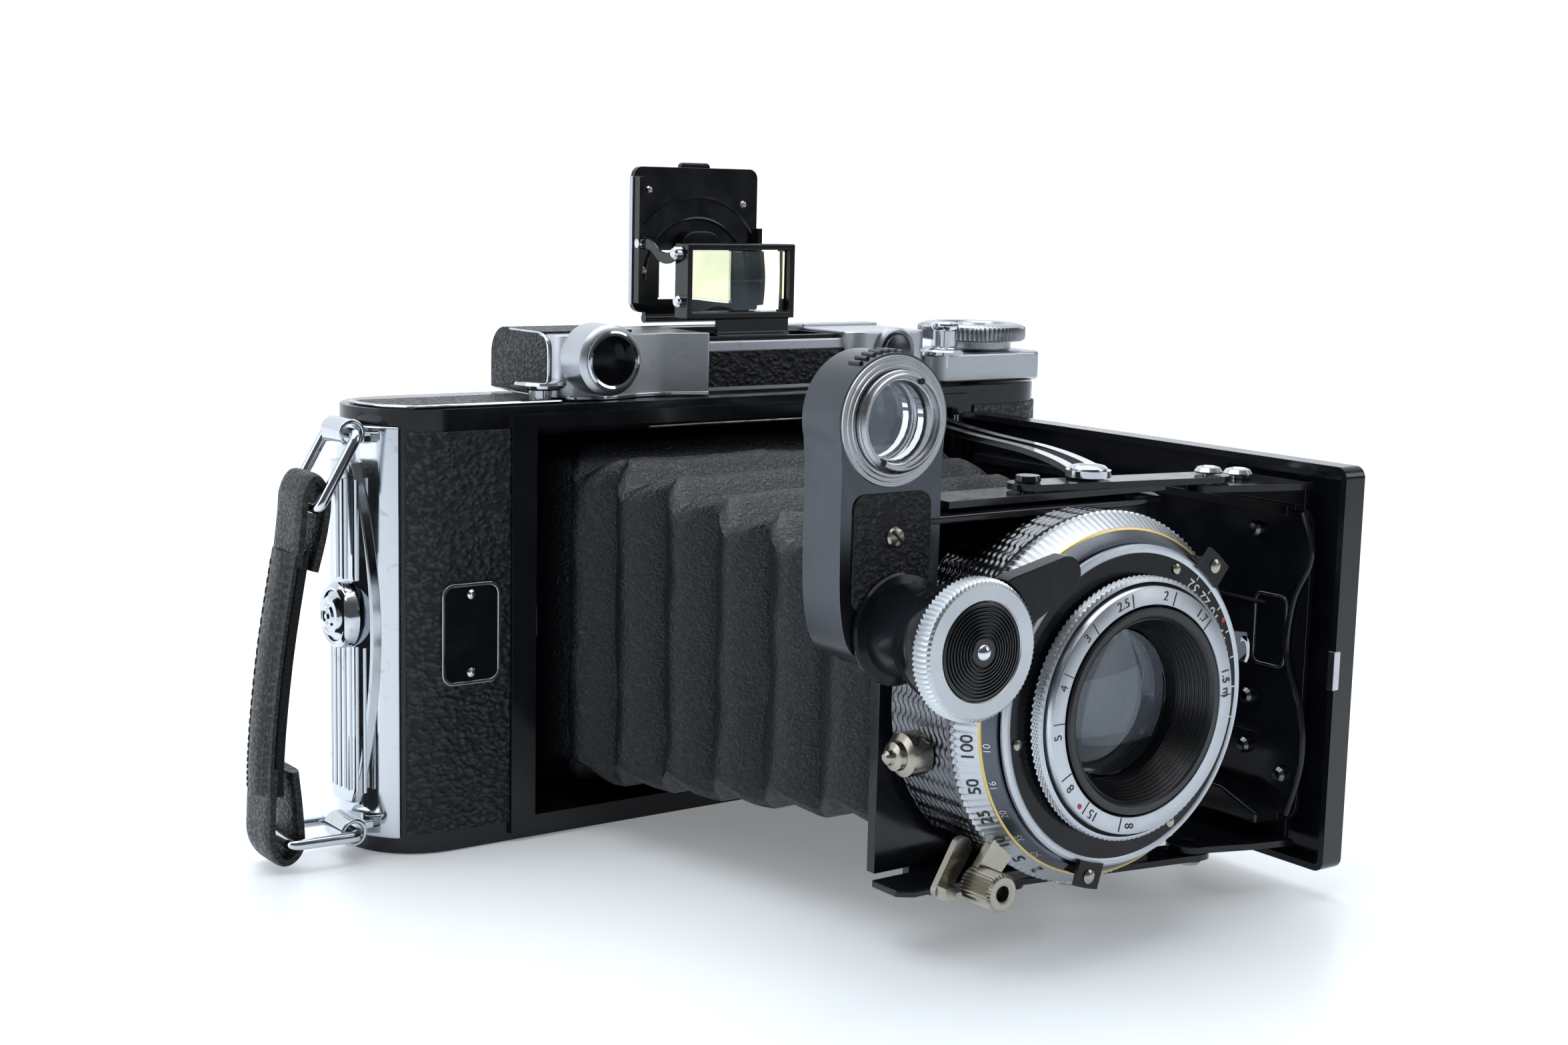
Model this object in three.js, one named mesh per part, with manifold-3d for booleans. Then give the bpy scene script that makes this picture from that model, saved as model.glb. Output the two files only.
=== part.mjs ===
// Folding bellows camera for 6 x 9 cm pictures on roll film, with its bed open and its lens drawn out.
// Millimetres. +X is to the right as seen from the front, +Y is towards the film back, +Z is up.
// The origin is on the flat bottom of the body, below the lens.

import * as THREE from 'three';
import { mergeVertices } from 'three/addons/utils/BufferGeometryUtils.js';
import Module from 'manifold-3d';

const wasm = await Module();
wasm.setup();

// ---- Driving dimensions ----

const GAP = 0.3;                // between pieces that touch on the real camera
const ROUND = 32;               // sides of a large circle
const SMALL_ROUND = 14;         // sides of a small circle
const SHUTTER_ROUND = 40;       // sides of the shutter's rings

const BODY_HEIGHT = 80.5;
const SPOOL_X = 66;             // film spool axes, left and right of the lens
const BODY_MID_Y = -3.5;        // depth of the spool axes
const END_RADIUS = 13.5;        // round ends of the body
const WALL = 1.2;
const FRONT_Y = BODY_MID_Y - END_RADIUS;
const BACK_Y = BODY_MID_Y + END_RADIUS;
const STEP_Y = 13.2;            // raised middle of the back
const SPLIT_Y = 1;              // where the hinged back meets the body
const FRAME_Y = -18;            // enamelled frame round the bellows opening
const OPENING_X = 48.9;
const OPENING_Z = 36;
const LENS_Z = 40.4;
const GATE_Y = 1.6;             // front of the film gate
const GATE_BACK_Y = 3.6;
const GATE_X = 42;
const GATE_Z = 28;

const HOUSING_Z = BODY_HEIGHT + GAP;
const HOUSING_TOP = 92.6;
const FINDER_X = 4.6;

const DOOR_HINGE = [50, FRAME_Y];
const DOOR_OUTER_X = 53.9;
const DOOR_INNER_X = 48.5;
const DOOR_END_Y = -121.6;
const DOOR_HALF_Z = 35.5;

const DOOR_PIVOT = [31.5, -106];      // link to bed bracket
const STANDARD_PIVOT = [-4.1, -99.7]; // link to lens standard
const STRUT_PIN = [8.5, -100.7];
const STRUT_PIVOT = [44, -13];
const BRACKET_Z = 71.4;               // underside of the bed bracket and of the standard's top flange
const BRACKET_THICK = 1.2;
const LINK_Z = 72.9;
const LINK_THICK = 1.1;
const STRUT_Z = 74.4;
const STRUT_THICK = 1.1;

const SHUTTER_RADIUS = 30.2;
const SHUTTER_BACK_Y = -98;
const SPEED_Y = -112.8;         // back of the speed ring
const FACE_BACK_Y = -119.7;
const FACE_Y = -120.7;
const FACE_RADIUS = 26;
const RING_RADIUS = 21.3;

const BARREL = [-35.7, 54];     // focus barrel and swing axis of the wedge arm, in X and Z
const WEDGE = [-37.5, 86.1];    // middle of the wedge window, in X and Z
const ARM_BACK_Y = -96.6;
const ARM_FRONT_Y = -106;
const WHEEL_RADIUS = 10.9;
const WHEEL_Y = -126;

const KNOB = [SPOOL_X, BODY_MID_Y];
const KNOB_RADIUS = 11.6;

// ---- Solids ----

function toSolid(geometry) {
  let source = geometry.clone();
  source.deleteAttribute('normal');
  source.deleteAttribute('uv');
  source = mergeVertices(source, 1e-4);
  const vertices = Float32Array.from(source.attributes.position.array);
  const corners = [];
  const index = source.index.array;
  for (let i = 0; i < index.length; i += 3) {
    const [a, b, c] = [index[i], index[i + 1], index[i + 2]];
    if (a !== b && b !== c && c !== a) corners.push(a, b, c);
  }
  const build = (list) => new wasm.Manifold(new wasm.Mesh({
    numProp: 3,
    vertProperties: vertices,
    triVerts: Uint32Array.from(list),
  }));
  const solid = build(corners);
  return solid.volume() > 0 ? solid : build(corners.reverse());
}

function toGeometry(solid) {
  const mesh = solid.getMesh();
  const geometry = new THREE.BufferGeometry();
  geometry.setAttribute('position', new THREE.BufferAttribute(Float32Array.from(mesh.vertProperties), 3));
  geometry.setIndex(new THREE.BufferAttribute(Uint32Array.from(mesh.triVerts), 1));
  geometry.computeVertexNormals();
  return geometry;
}

const join = (first, ...others) => others.reduce((whole, piece) => whole.add(piece), first);
const cut = (first, ...others) => others.reduce((rest, piece) => rest.subtract(piece), first);

function block(x, y, z) {
  const geometry = new THREE.BoxGeometry(x[1] - x[0], y[1] - y[0], z[1] - z[0]);
  geometry.translate((x[0] + x[1]) / 2, (y[0] + y[1]) / 2, (z[0] + z[1]) / 2);
  return toSolid(geometry);
}

function extruded(shape, depth, sides) {
  return new THREE.ExtrudeGeometry(shape, { depth, bevelEnabled: false, curveSegments: sides });
}

// A plate whose outline lies in X and Y.
function plateZ(shape, low, high, sides = 8) {
  const geometry = extruded(shape, high - low, sides);
  geometry.translate(0, 0, low);
  return toSolid(geometry);
}

// A plate whose outline lies in X and Z.
function plateY(shape, low, high, sides = 8) {
  const geometry = extruded(shape, high - low, sides);
  geometry.rotateX(Math.PI / 2);
  geometry.translate(0, high, 0);
  return toSolid(geometry);
}

// A plate whose outline lies in Y and Z.
function plateX(shape, low, high, sides = 8) {
  const geometry = extruded(shape, high - low, sides);
  const basis = new THREE.Matrix4().makeBasis(
    new THREE.Vector3(0, 1, 0),
    new THREE.Vector3(0, 0, 1),
    new THREE.Vector3(1, 0, 0),
  );
  geometry.applyMatrix4(basis);
  geometry.translate(low, 0, 0);
  return toSolid(geometry);
}

// A turned piece. Its profile lists radius and place along the axis.
function turned(profile, sides) {
  const points = profile.map(([radius, along]) => new THREE.Vector2(radius, along));
  const closed = profile[0][0] === 0 && profile.at(-1)[0] === 0;
  if (!closed) points.push(points[0].clone());
  return new THREE.LatheGeometry(points, sides);
}

function turnedY(profile, [x, z], sides = ROUND) {
  const geometry = turned(profile, sides);
  geometry.translate(x, 0, z);
  return toSolid(geometry);
}

function turnedZ(profile, [x, y], sides = ROUND) {
  const geometry = turned(profile, sides);
  geometry.rotateX(Math.PI / 2);
  geometry.translate(x, y, 0);
  return toSolid(geometry);
}

function turnedX(profile, [y, z], sides = ROUND) {
  const geometry = turned(profile, sides);
  geometry.rotateZ(-Math.PI / 2);
  geometry.translate(0, y, z);
  return toSolid(geometry);
}

const bar = (radius, low, high) => [[0, low], [radius, low], [radius, high], [0, high]];
const tube = (outer, inner, low, high) => [[outer, low], [outer, high], [inner, high], [inner, low]];

// A straight-sided outline with round corners, by its low and high corners.
function roundedBox([x0, y0], [x1, y1], radius) {
  const shape = new THREE.Shape();
  shape.moveTo(x0 + radius, y0);
  shape.lineTo(x1 - radius, y0);
  shape.absarc(x1 - radius, y0 + radius, radius, -Math.PI / 2, 0, false);
  shape.lineTo(x1, y1 - radius);
  shape.absarc(x1 - radius, y1 - radius, radius, 0, Math.PI / 2, false);
  shape.lineTo(x0 + radius, y1);
  shape.absarc(x0 + radius, y1 - radius, radius, Math.PI / 2, Math.PI, false);
  shape.lineTo(x0, y0 + radius);
  shape.absarc(x0 + radius, y0 + radius, radius, Math.PI, Math.PI * 1.5, false);
  return shape;
}

// The outline round two circles, each given by its centre and radius.
function belt([ax, ay], aRadius, [bx, by], bRadius) {
  const along = Math.atan2(by - ay, bx - ax);
  const spread = Math.acos((aRadius - bRadius) / Math.hypot(bx - ax, by - ay));
  const shape = new THREE.Shape();
  shape.absarc(ax, ay, aRadius, along + spread, along - spread + Math.PI * 2, false);
  shape.absarc(bx, by, bRadius, along - spread, along + spread, false);
  return shape;
}

// ---- The scene graph ----

const camera = new THREE.Group();
camera.name = 'folding_camera';

const FINISH = {
  enamel: [0x101114, 0.25, 0.1],
  leather: [0x1b1c1e, 0.8, 0],
  chrome: [0xd8dade, 0.15, 1],
  satin: [0xb9bcc0, 0.35, 1],
  black: [0x17181a, 0.5, 0.2],
  brass: [0xb59a5c, 0.35, 1],
  glass: [0xaec3d6, 0.05, 0],
  blades: [0x55585d, 0.4, 0.8],
  ruby: [0x7a1216, 0.2, 0],
};

function add(group, name, finish, solid) {
  const [color, roughness, metalness] = FINISH[finish];
  const material = new THREE.MeshStandardMaterial({ color, roughness, metalness });
  const mesh = new THREE.Mesh(toGeometry(solid), material);
  mesh.name = name;
  group.add(mesh);
}

function addGroup(name, parent = camera) {
  const group = new THREE.Group();
  group.name = name;
  parent.add(group);
  return group;
}

// ---- Body ----

const body = addGroup('body');

// The plan of the body: straight sides and half-round ends.
function bodyPlan(inset = 0) {
  const radius = END_RADIUS - inset;
  return belt([-SPOOL_X, BODY_MID_Y], radius, [SPOOL_X, BODY_MID_Y], radius);
}

const HINGE_X = 79.9;
const KNUCKLE_RADIUS = 1.9;
const HINGE_PIN_RADIUS = 0.7;
const KNUCKLES = [[6, 18], [18.4, 62], [62.4, 74.4]];   // body, back, body

function knuckle([low, high], clearance = 0) {
  const span = bar(KNUCKLE_RADIUS + clearance, low - clearance, high + clearance);
  return turnedZ(span, [HINGE_X, SPLIT_Y], SMALL_ROUND);
}

const hingeBore = turnedZ(bar(HINGE_PIN_RADIUS + 0.25, -1, BODY_HEIGHT), [HINGE_X, SPLIT_Y], SMALL_ROUND);

const CHAMBER_RADIUS = END_RADIUS - WALL;
const SPOOL_LOW = 9;
const SPOOL_HIGH = 71.6;

const bed = LENS_Z - OPENING_Z;
const ceiling = LENS_Z + OPENING_Z;

function filmChamber(side) {
  const chamber = turnedZ(bar(CHAMBER_RADIUS, bed - 2, ceiling + 2), [side * SPOOL_X, BODY_MID_Y]);
  return chamber;
}

// The posts that carry the back ends of the two struts.
function strutPost(side) {
  const z = (offset) => LENS_Z + side * (offset - LENS_Z);
  const span = (low, high) => [Math.min(z(low), z(high)), Math.max(z(low), z(high))];
  const shelf = block([40.8, OPENING_X + 1], [-16.5, -9.5], span(72.4, 74));
  const pin = turnedZ(bar(1.2, ...span(73, 76)), STRUT_PIVOT, SMALL_ROUND);
  return join(shelf, pin);
}

const LATCH_BUTTON = [-44.8, -11.6];
const RELEASE_BUTTON = [51.4, -12];
const BUSH = [-20, -6];

const frontFrame = block([-53.9, 53.9], [FRAME_Y, FRONT_Y + 1], [1.4, BODY_HEIGHT - 1.4]);
const wholeBody = join(plateZ(bodyPlan(), 0, BODY_HEIGHT, ROUND / 4), frontFrame);
const frontHalf = block([-90, 90], [FRAME_Y - 1, SPLIT_Y - GAP / 2], [-1, BODY_HEIGHT + 1]);
const filmGate = block([-52, 52], [GATE_Y - 6, GATE_BACK_Y], [WALL + 1.2, BODY_HEIGHT - WALL - 1.2]);
const bodyShell = cut(
  join(
    cut(
      join(wholeBody.intersect(frontHalf), filmGate, knuckle(KNUCKLES[0]), knuckle(KNUCKLES[2])),
      block([-OPENING_X, OPENING_X], [FRAME_Y - 2, GATE_Y], [bed, ceiling]),
      block([-GATE_X, GATE_X], [GATE_Y - 1, GATE_BACK_Y + 1], [LENS_Z - GATE_Z, LENS_Z + GATE_Z]),
      filmChamber(-1),
      filmChamber(1),
      knuckle(KNUCKLES[1], GAP),
      hingeBore,
      turnedZ(bar(1.7, 7.6, 73.2), DOOR_HINGE, SMALL_ROUND),
      turnedZ(bar(0.85, 5.6, 75.2), DOOR_HINGE, SMALL_ROUND),
    ),
    strutPost(1),
    strutPost(-1),
  ),
  turnedZ(bar(2.4, ceiling - 1, BODY_HEIGHT + 1), LATCH_BUTTON, SMALL_ROUND),
  turnedZ(bar(2.6, ceiling + 1, BODY_HEIGHT + 1), KNOB, SMALL_ROUND),
  turnedZ(bar(4.8, -1, 3), BUSH, SMALL_ROUND),
);
add(body, 'body_shell', 'enamel', bodyShell);

add(body, 'back_hinge_pin', 'chrome',
  turnedZ(bar(HINGE_PIN_RADIUS, KNUCKLES[0][0] + 0.5, KNUCKLES[2][1] - 0.5), [HINGE_X, SPLIT_Y], SMALL_ROUND));

add(body, 'tripod_bush', 'brass', turnedZ(
  [[4.5, 0.2], [4.5, 2.7], [0, 2.7], [0, 2.2], [3.1, 2.2], [3.1, 0.2]],
  BUSH,
  SMALL_ROUND,
));

// The bright end plate wraps the left end and carries the two strap lugs.
const LUG_X = -82.8;
const LUG_Y = [-13, -5];
const LUG_Z = [4.9, 76.6];
const LUG_RADIUS = 2.5;

function endPlate() {
  const inner = plateZ(bodyPlan(-GAP), -1, BODY_HEIGHT + 1, ROUND / 4);
  const sheet = plateZ(bodyPlan(-1.4), 3, 77.5, ROUND / 4);
  const boss = plateZ(bodyPlan(-2.4), 9, 71, ROUND / 4);
  const window = block([-90, -SPOOL_X - 9], [-15.2, SPLIT_Y - GAP], [0, BODY_HEIGHT]);
  const bossWindow = block([-90, -SPOOL_X - 11.5], [-12, SPLIT_Y - 1.5], [0, BODY_HEIGHT]);
  const lugs = LUG_Z.map((z) => join(
    turnedY(bar(LUG_RADIUS, ...LUG_Y), [LUG_X, z], SMALL_ROUND),
    block([LUG_X, -79.6], LUG_Y, [z - 1.8, z + 1.8]),
  ));
  const bores = LUG_Z.map((z) => turnedY(bar(1.45, LUG_Y[0] - 1, LUG_Y[1] + 1), [LUG_X, z], SMALL_ROUND));
  const skin = join(sheet.intersect(window), boss.intersect(bossWindow), ...lugs);
  const button = turnedX(bar(4.9, -90, -70), [-7, 43.5], SMALL_ROUND);
  return cut(skin, inner, ...bores, button);
}
add(body, 'end_plate', 'chrome', endPlate());

// ---- Back latch button in the end plate ----

const backLatch = addGroup('back_latch');
add(backLatch, 'back_latch_button', 'chrome', turnedX(
  [[0, -84.2], [2.2, -84.2], [4.5, -82.6], [4.5, -81.1], [0, -81.1]],
  [-7, 43.5],
  SMALL_ROUND,
));

// ---- Hinged back ----

const back = addGroup('film_back');
const RED_WINDOW = [18, LENS_Z];
const rearHalf = block([-90, 90], [SPLIT_Y + GAP / 2, BACK_Y + 1], [-1, BODY_HEIGHT + 1]);
const backStep = plateY(roundedBox([-53, 1.6], [53, BODY_HEIGHT - 1.6], 4), BACK_Y - 3, STEP_Y);
const backShell = cut(
  join(plateZ(bodyPlan(), 0, BODY_HEIGHT, ROUND / 4).intersect(rearHalf), backStep, knuckle(KNUCKLES[1])),
  plateZ(bodyPlan(WALL), WALL, BODY_HEIGHT - WALL, ROUND / 4),
  plateY(roundedBox([-53 + WALL, 1.6 + WALL], [53 - WALL, BODY_HEIGHT - 1.6 - WALL], 3), 0, STEP_Y - WALL),
  knuckle(KNUCKLES[0], GAP),
  knuckle(KNUCKLES[2], GAP),
  hingeBore,
  turnedY(bar(6, STEP_Y - 3, STEP_Y + 2), RED_WINDOW, SMALL_ROUND),
);
add(back, 'back_cover', 'enamel', backShell);
add(back, 'pressure_plate', 'satin', cut(
  block([-45, 45], [GATE_BACK_Y + 1.1, GATE_BACK_Y + 2.3], [10, 70.8]),
  turnedY(bar(5, 0, BACK_Y), RED_WINDOW, SMALL_ROUND),
));
add(back, 'red_window', 'ruby', turnedY(bar(5.7, STEP_Y - 0.9, STEP_Y - 0.2), RED_WINDOW, SMALL_ROUND));

const windowCover = addGroup('window_cover', back);
add(windowCover, 'window_cover_slide', 'chrome', plateY(
  roundedBox([11.2, LENS_Z - 6.6], [24.8, LENS_Z + 6.6], 3),
  STEP_Y + GAP,
  STEP_Y + 1.2,
));

// ---- Film spools and winding knob ----

function spool(x, coreRadius) {
  const flange = 1.2;
  const rim = END_RADIUS - WALL - 0.7;
  const body = turnedZ([
    [0, SPOOL_LOW],
    [rim, SPOOL_LOW],
    [rim, SPOOL_LOW + flange],
    [coreRadius, SPOOL_LOW + flange],
    [coreRadius, SPOOL_HIGH - flange],
    [rim, SPOOL_HIGH - flange],
    [rim, SPOOL_HIGH],
    [0, SPOOL_HIGH],
  ], [x, BODY_MID_Y], 24);
  const slot = block([x - 0.6, x + 0.6], [BODY_MID_Y - 20, BODY_MID_Y + 20], [SPOOL_LOW + 12, SPOOL_HIGH - 12]);
  return coreRadius < 6 ? cut(body, slot.intersect(turnedZ(bar(coreRadius + 1, 0, 90), [x, BODY_MID_Y], 16))) : body;
}

const supply = addGroup('supply_spool');
add(supply, 'supply_film_roll', 'black', spool(-SPOOL_X, 10.4));

const winding = addGroup('winding');
add(winding, 'takeup_spool', 'satin', cut(
  spool(SPOOL_X, 4.2),
  block([SPOOL_X - 3.6, SPOOL_X + 3.6], [BODY_MID_Y - 0.9, BODY_MID_Y + 0.9], [SPOOL_HIGH - 3, SPOOL_HIGH + 1]),
));

const PLATFORM_TOP = 87;
const KNOB_LOW = 89.3;
const KNOB_HIGH = 92.8;
const knobProfile = [
  [0, SPOOL_HIGH + 0.5],
  [2.2, SPOOL_HIGH + 0.5],
  [2.2, PLATFORM_TOP + 0.4],
  [8.2, PLATFORM_TOP + 0.4],
  [8.2, KNOB_LOW],
  [KNOB_RADIUS, KNOB_LOW + 0.3],
  [KNOB_RADIUS, KNOB_HIGH - 0.5],
  [KNOB_RADIUS - 0.7, KNOB_HIGH],
  [0, KNOB_HIGH],
];
add(winding, 'winding_knob', 'chrome', turnedZ(knobProfile, KNOB));

add(body, 'winding_platform', 'satin', cut(
  plateZ(roundedBox([47.2, -13.2], [78.6, 8.6], 3), HOUSING_Z, PLATFORM_TOP),
  turnedZ(bar(2.6, 70, 95), KNOB, SMALL_ROUND),
  turnedZ(bar(1.5, 70, 95), RELEASE_BUTTON, SMALL_ROUND),
));

const release = addGroup('release');
add(release, 'release_button', 'chrome', turnedZ([
  [0, 84],
  [1.2, 84],
  [1.2, 88.6],
  [2.4, 88.6],
  [2.4, 92.2],
  [2.9, 92.5],
  [2.9, 93.6],
  [0, 93.6],
], RELEASE_BUTTON, SMALL_ROUND));

const bedRelease = addGroup('bed_release');
add(bedRelease, 'bed_release_button', 'chrome', turnedZ([
  [0, ceiling + 2.5],
  [2, ceiling + 2.5],
  [2, BODY_HEIGHT + 2.2],
  [4.4, BODY_HEIGHT + 2.4],
  [4.8, BODY_HEIGHT + 3.2],
  [4.2, BODY_HEIGHT + 4],
  [0, BODY_HEIGHT + 4.2],
], LATCH_BUTTON));

// ---- Rangefinder housing on the body's top ----

const RF_WINDOW = [-34.2, 88.4];
const EYEPIECE = [-30, 87];
const WELL_X = [-8.5, 26.5];
const HOUSING_BACK_Y = 13;

function topHousing() {
  const left = plateZ(roundedBox([-41.2, -13.6], [-8.5, HOUSING_BACK_Y], 3), HOUSING_Z, HOUSING_TOP);
  const middle = block([-12, 30], [-9.4, HOUSING_BACK_Y], [HOUSING_Z, 90.4]);
  const right = plateZ(roundedBox([26.5, -12.6], [46.6, HOUSING_BACK_Y], 2.5), HOUSING_Z, HOUSING_TOP - 0.6);
  const rearShelf = block([-12, 30], [4.8, HOUSING_BACK_Y], [HOUSING_Z, HOUSING_TOP]);
  const boss = turnedY(bar(6.6, -19.6, -10), RF_WINDOW, 20);
  const adjusterCap = turnedY(bar(3.8, -14.2, -11), [37.4, 88.6], SMALL_ROUND);
  const belowBoss = block([-45, -25], [-25, -13.6], [70, HOUSING_Z + 0.6]);
  const hollow = join(
    block([-39.5, -14], [-11, 11.4], [HOUSING_Z - 1, HOUSING_TOP - 1.4]),
    block([-15, 30], [-8, 11.4], [HOUSING_Z - 1, 87.2]),
    block([28.5, 44.6], [-10.6, 11.4], [HOUSING_Z - 1, HOUSING_TOP - 2]),
  );
  return cut(
    join(left, middle, right, rearShelf, cut(boss, belowBoss), adjusterCap),
    hollow,
    turnedY(bar(5.3, -25, -8), RF_WINDOW, 20),
    turnedY(bar(3.6, 8, 16), EYEPIECE, SMALL_ROUND),
    block([WELL_X[0], WELL_X[1]], [-8.4, 4.6], [88.4, 95]),
    turnedZ(bar(5.1, BODY_HEIGHT, BODY_HEIGHT + 5), LATCH_BUTTON, SMALL_ROUND),
  );
}
add(body, 'top_housing', 'satin', topHousing());

add(body, 'finder_well', 'black', cut(
  block([WELL_X[0] + GAP, WELL_X[1] - GAP], [-8.1, 4.3], [88.7, 91.4]),
  block([WELL_X[0] + 1.3, WELL_X[1] - 1.3], [-7, 3.3], [89.6, 95]),
));

add(body, 'rangefinder_window_ring', 'chrome', turnedY(tube(5, 4, -20.2, -17), RF_WINDOW, 20));
add(body, 'rangefinder_eyepiece', 'black', turnedY(
  [[3.3, 9.6], [3.3, 13.4], [4.8, 13.4], [4.8, 14.6], [1.6, 14.6], [1.6, 9.6]],
  EYEPIECE,
  SMALL_ROUND,
));
add(body, 'rangefinder_prism', 'glass', block([-38.6, 0], [-4, 6], [82, 86.8]));
// ---- Folding finder: a front lens box and a rear panel ----

const FINDER_LENS = { y: [-5, -0.2], z: [94.6, 109.3], halfX: 12.9 };
const LENS_HINGE = [-4, 91];
const LENS_HINGE_X = [FINDER_X - 5.6, FINDER_X + 12];
const lensBox = addGroup('finder_front');
const [lensLow, lensHigh] = FINDER_LENS.z;
add(lensBox, 'finder_front_frame', 'enamel', join(
  cut(
    block([FINDER_X - FINDER_LENS.halfX, FINDER_X + FINDER_LENS.halfX], FINDER_LENS.y, [lensLow, lensHigh]),
    block([FINDER_X - 11.7, FINDER_X + 11.7], [-20, 0], [lensLow + 1.3, lensHigh - 1.2]),
  ),
  block(LENS_HINGE_X, [LENS_HINGE[0] - 0.4, LENS_HINGE[0] + 0.4], [LENS_HINGE[1] + 0.2, lensLow + 0.4]),
  turnedX(bar(0.9, ...LENS_HINGE_X), LENS_HINGE, SMALL_ROUND),
));
add(lensBox, 'finder_front_lens', 'glass', block(
  [FINDER_X - 11.4, FINDER_X + 11.4],
  [-4.2, -1.4],
  [lensLow + 1.6, lensHigh - 1.5],
));

const panel = addGroup('finder_rear');
const PANEL_X = [FINDER_X - 15, FINDER_X + 15];
const PANEL_Y = [11.7, 13.1];
const PANEL_LOW = 95;
const PANEL_HIGH = 124;
const panelOutline = roundedBox([PANEL_X[0], PANEL_LOW], [PANEL_X[1], PANEL_HIGH], 2);
add(panel, 'finder_rear_panel', 'enamel', cut(
  join(
    plateY(panelOutline, ...PANEL_Y),
    block([PANEL_X[0], PANEL_X[0] + 1], [9.6, 12], [PANEL_LOW + 2, PANEL_HIGH - 2]),
    block([PANEL_X[1] - 1, PANEL_X[1]], [9.6, 12], [PANEL_LOW + 2, PANEL_HIGH - 12]),
    block([FINDER_X - 12, FINDER_X + 12], PANEL_Y, [93.4, PANEL_LOW + 1]),
    turnedX(bar(1, FINDER_X - 12, FINDER_X + 12), [12.4, 93.8], SMALL_ROUND),
  ),
  block([FINDER_X - 9, FINDER_X + 9], [0, 20], [97.6, 107.4]),
));
add(panel, 'finder_rear_lens', 'glass', block([FINDER_X - 8.7, FINDER_X + 8.7], [11.9, 12.9], [97.9, 107.1]));

// ---- Carrying strap ----

const strap = addGroup('carrying_strap');
const RING_WIRE = 1;

// A wire loop through a lug: it leaves the lug at both ends and meets the strap at its outer bar.
function wireLoop(lugZ, [outerX, outerZ]) {
  const halfY = 6.2;
  const middleY = (LUG_Y[0] + LUG_Y[1]) / 2;
  const corners = [
    [LUG_X, middleY - halfY, lugZ],
    [outerX, middleY - halfY, outerZ],
    [outerX, middleY + halfY, outerZ],
    [LUG_X, middleY + halfY, lugZ],
  ];
  const rods = corners.map((start, i) => {
    const end = corners[(i + 1) % corners.length];
    const way = new THREE.Vector3(...end).sub(new THREE.Vector3(...start));
    const rod = new THREE.CylinderGeometry(RING_WIRE, RING_WIRE, way.length(), 8);
    rod.applyQuaternion(new THREE.Quaternion().setFromUnitVectors(
      new THREE.Vector3(0, 1, 0),
      way.clone().normalize(),
    ));
    rod.translate(...new THREE.Vector3(...start).addScaledVector(way, 0.5).toArray());
    return toSolid(rod);
  });
  const knees = corners.map((corner) => {
    const ball = new THREE.SphereGeometry(RING_WIRE * 1.02, 8, 6);
    ball.translate(...corner);
    return toSolid(ball);
  });
  return join(...rods, ...knees);
}

const UPPER_BAR = [-90.2, 64];
const LOWER_BAR = [-95.6, 5.2];
add(strap, 'upper_strap_ring', 'chrome', wireLoop(LUG_Z[1], UPPER_BAR));
add(strap, 'lower_strap_ring', 'chrome', wireLoop(LUG_Z[0], LOWER_BAR));

// The strap bows outwards between the bars and folds back round each of them.
function strapBand() {
  const outline = new THREE.Shape();
  outline.moveTo(-91.6, 73);
  outline.bezierCurveTo(-95.4, 58, -98.6, 40, -99.4, 20);
  outline.bezierCurveTo(-99.6, 12, -100.6, 6, -99.2, 2.4);
  outline.bezierCurveTo(-98, 0.4, -94, 0.4, -93, 2.6);
  outline.lineTo(-92.6, 16);
  outline.bezierCurveTo(-93.6, 34, -92, 50, -88.4, 61.5);
  outline.bezierCurveTo(-87, 66, -87.6, 71, -88.4, 73);
  outline.bezierCurveTo(-89.4, 75, -91, 75, -91.6, 73);
  const bores = [UPPER_BAR, LOWER_BAR].map((place) => turnedY(bar(RING_WIRE + GAP, -30, 10), place, 16));
  return cut(plateY(outline, -14, -4, 8), ...bores);
}
add(strap, 'strap', 'leather', strapBand());

// ---- Bellows ----

function bellowsTube() {
  const REAR_Y = -0.6;
  const TAPER_Y = -12;
  const END_Y = -93.6;
  const section = (halfX, halfZ, y) => [[-halfX, -halfZ], [halfX, -halfZ], [halfX, halfZ], [-halfX, halfZ]]
    .map(([x, z]) => [x, y, LENS_Z + z]);
  const skin = (sections) => {
    const positions = sections.flat(2);
    const faces = [];
    for (let i = 0; i + 1 < sections.length; i += 1) {
      for (let k = 0; k < 4; k += 1) {
        const [a, b] = [i * 4 + k, i * 4 + (k + 1) % 4];
        faces.push(a, b, b + 4, a, b + 4, a + 4);
      }
    }
    const last = (sections.length - 1) * 4;
    faces.push(0, 2, 1, 0, 3, 2, last, last + 1, last + 2, last, last + 2, last + 3);
    const geometry = new THREE.BufferGeometry();
    geometry.setAttribute('position', new THREE.Float32BufferAttribute(positions, 3));
    geometry.setIndex(faces);
    return toSolid(geometry);
  };
  const outer = skin([section(42, 31, REAR_Y), section(41, 30, TAPER_Y), section(30, 21, END_Y)]);
  const inner = skin([section(40, 29, REAR_Y + 1), section(39.2, 28.2, TAPER_Y), section(28.2, 19.2, END_Y - 1)]);
  const flange = block([-46.5, 46.5], [REAR_Y - 0.6, REAR_Y + 0.6], [LENS_Z - 34, LENS_Z + 34]);
  return cut(join(outer, flange), inner);
}
add(body, 'bellows', 'leather', bellowsTube());

// ---- Bed, hinged at the right of the opening ----

const bedDoor = addGroup('bed_door');
const doorLow = LENS_Z - DOOR_HALF_Z;
const doorHigh = LENS_Z + DOOR_HALF_Z;
const DOOR_NEAR_Y = -20.6;

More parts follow.
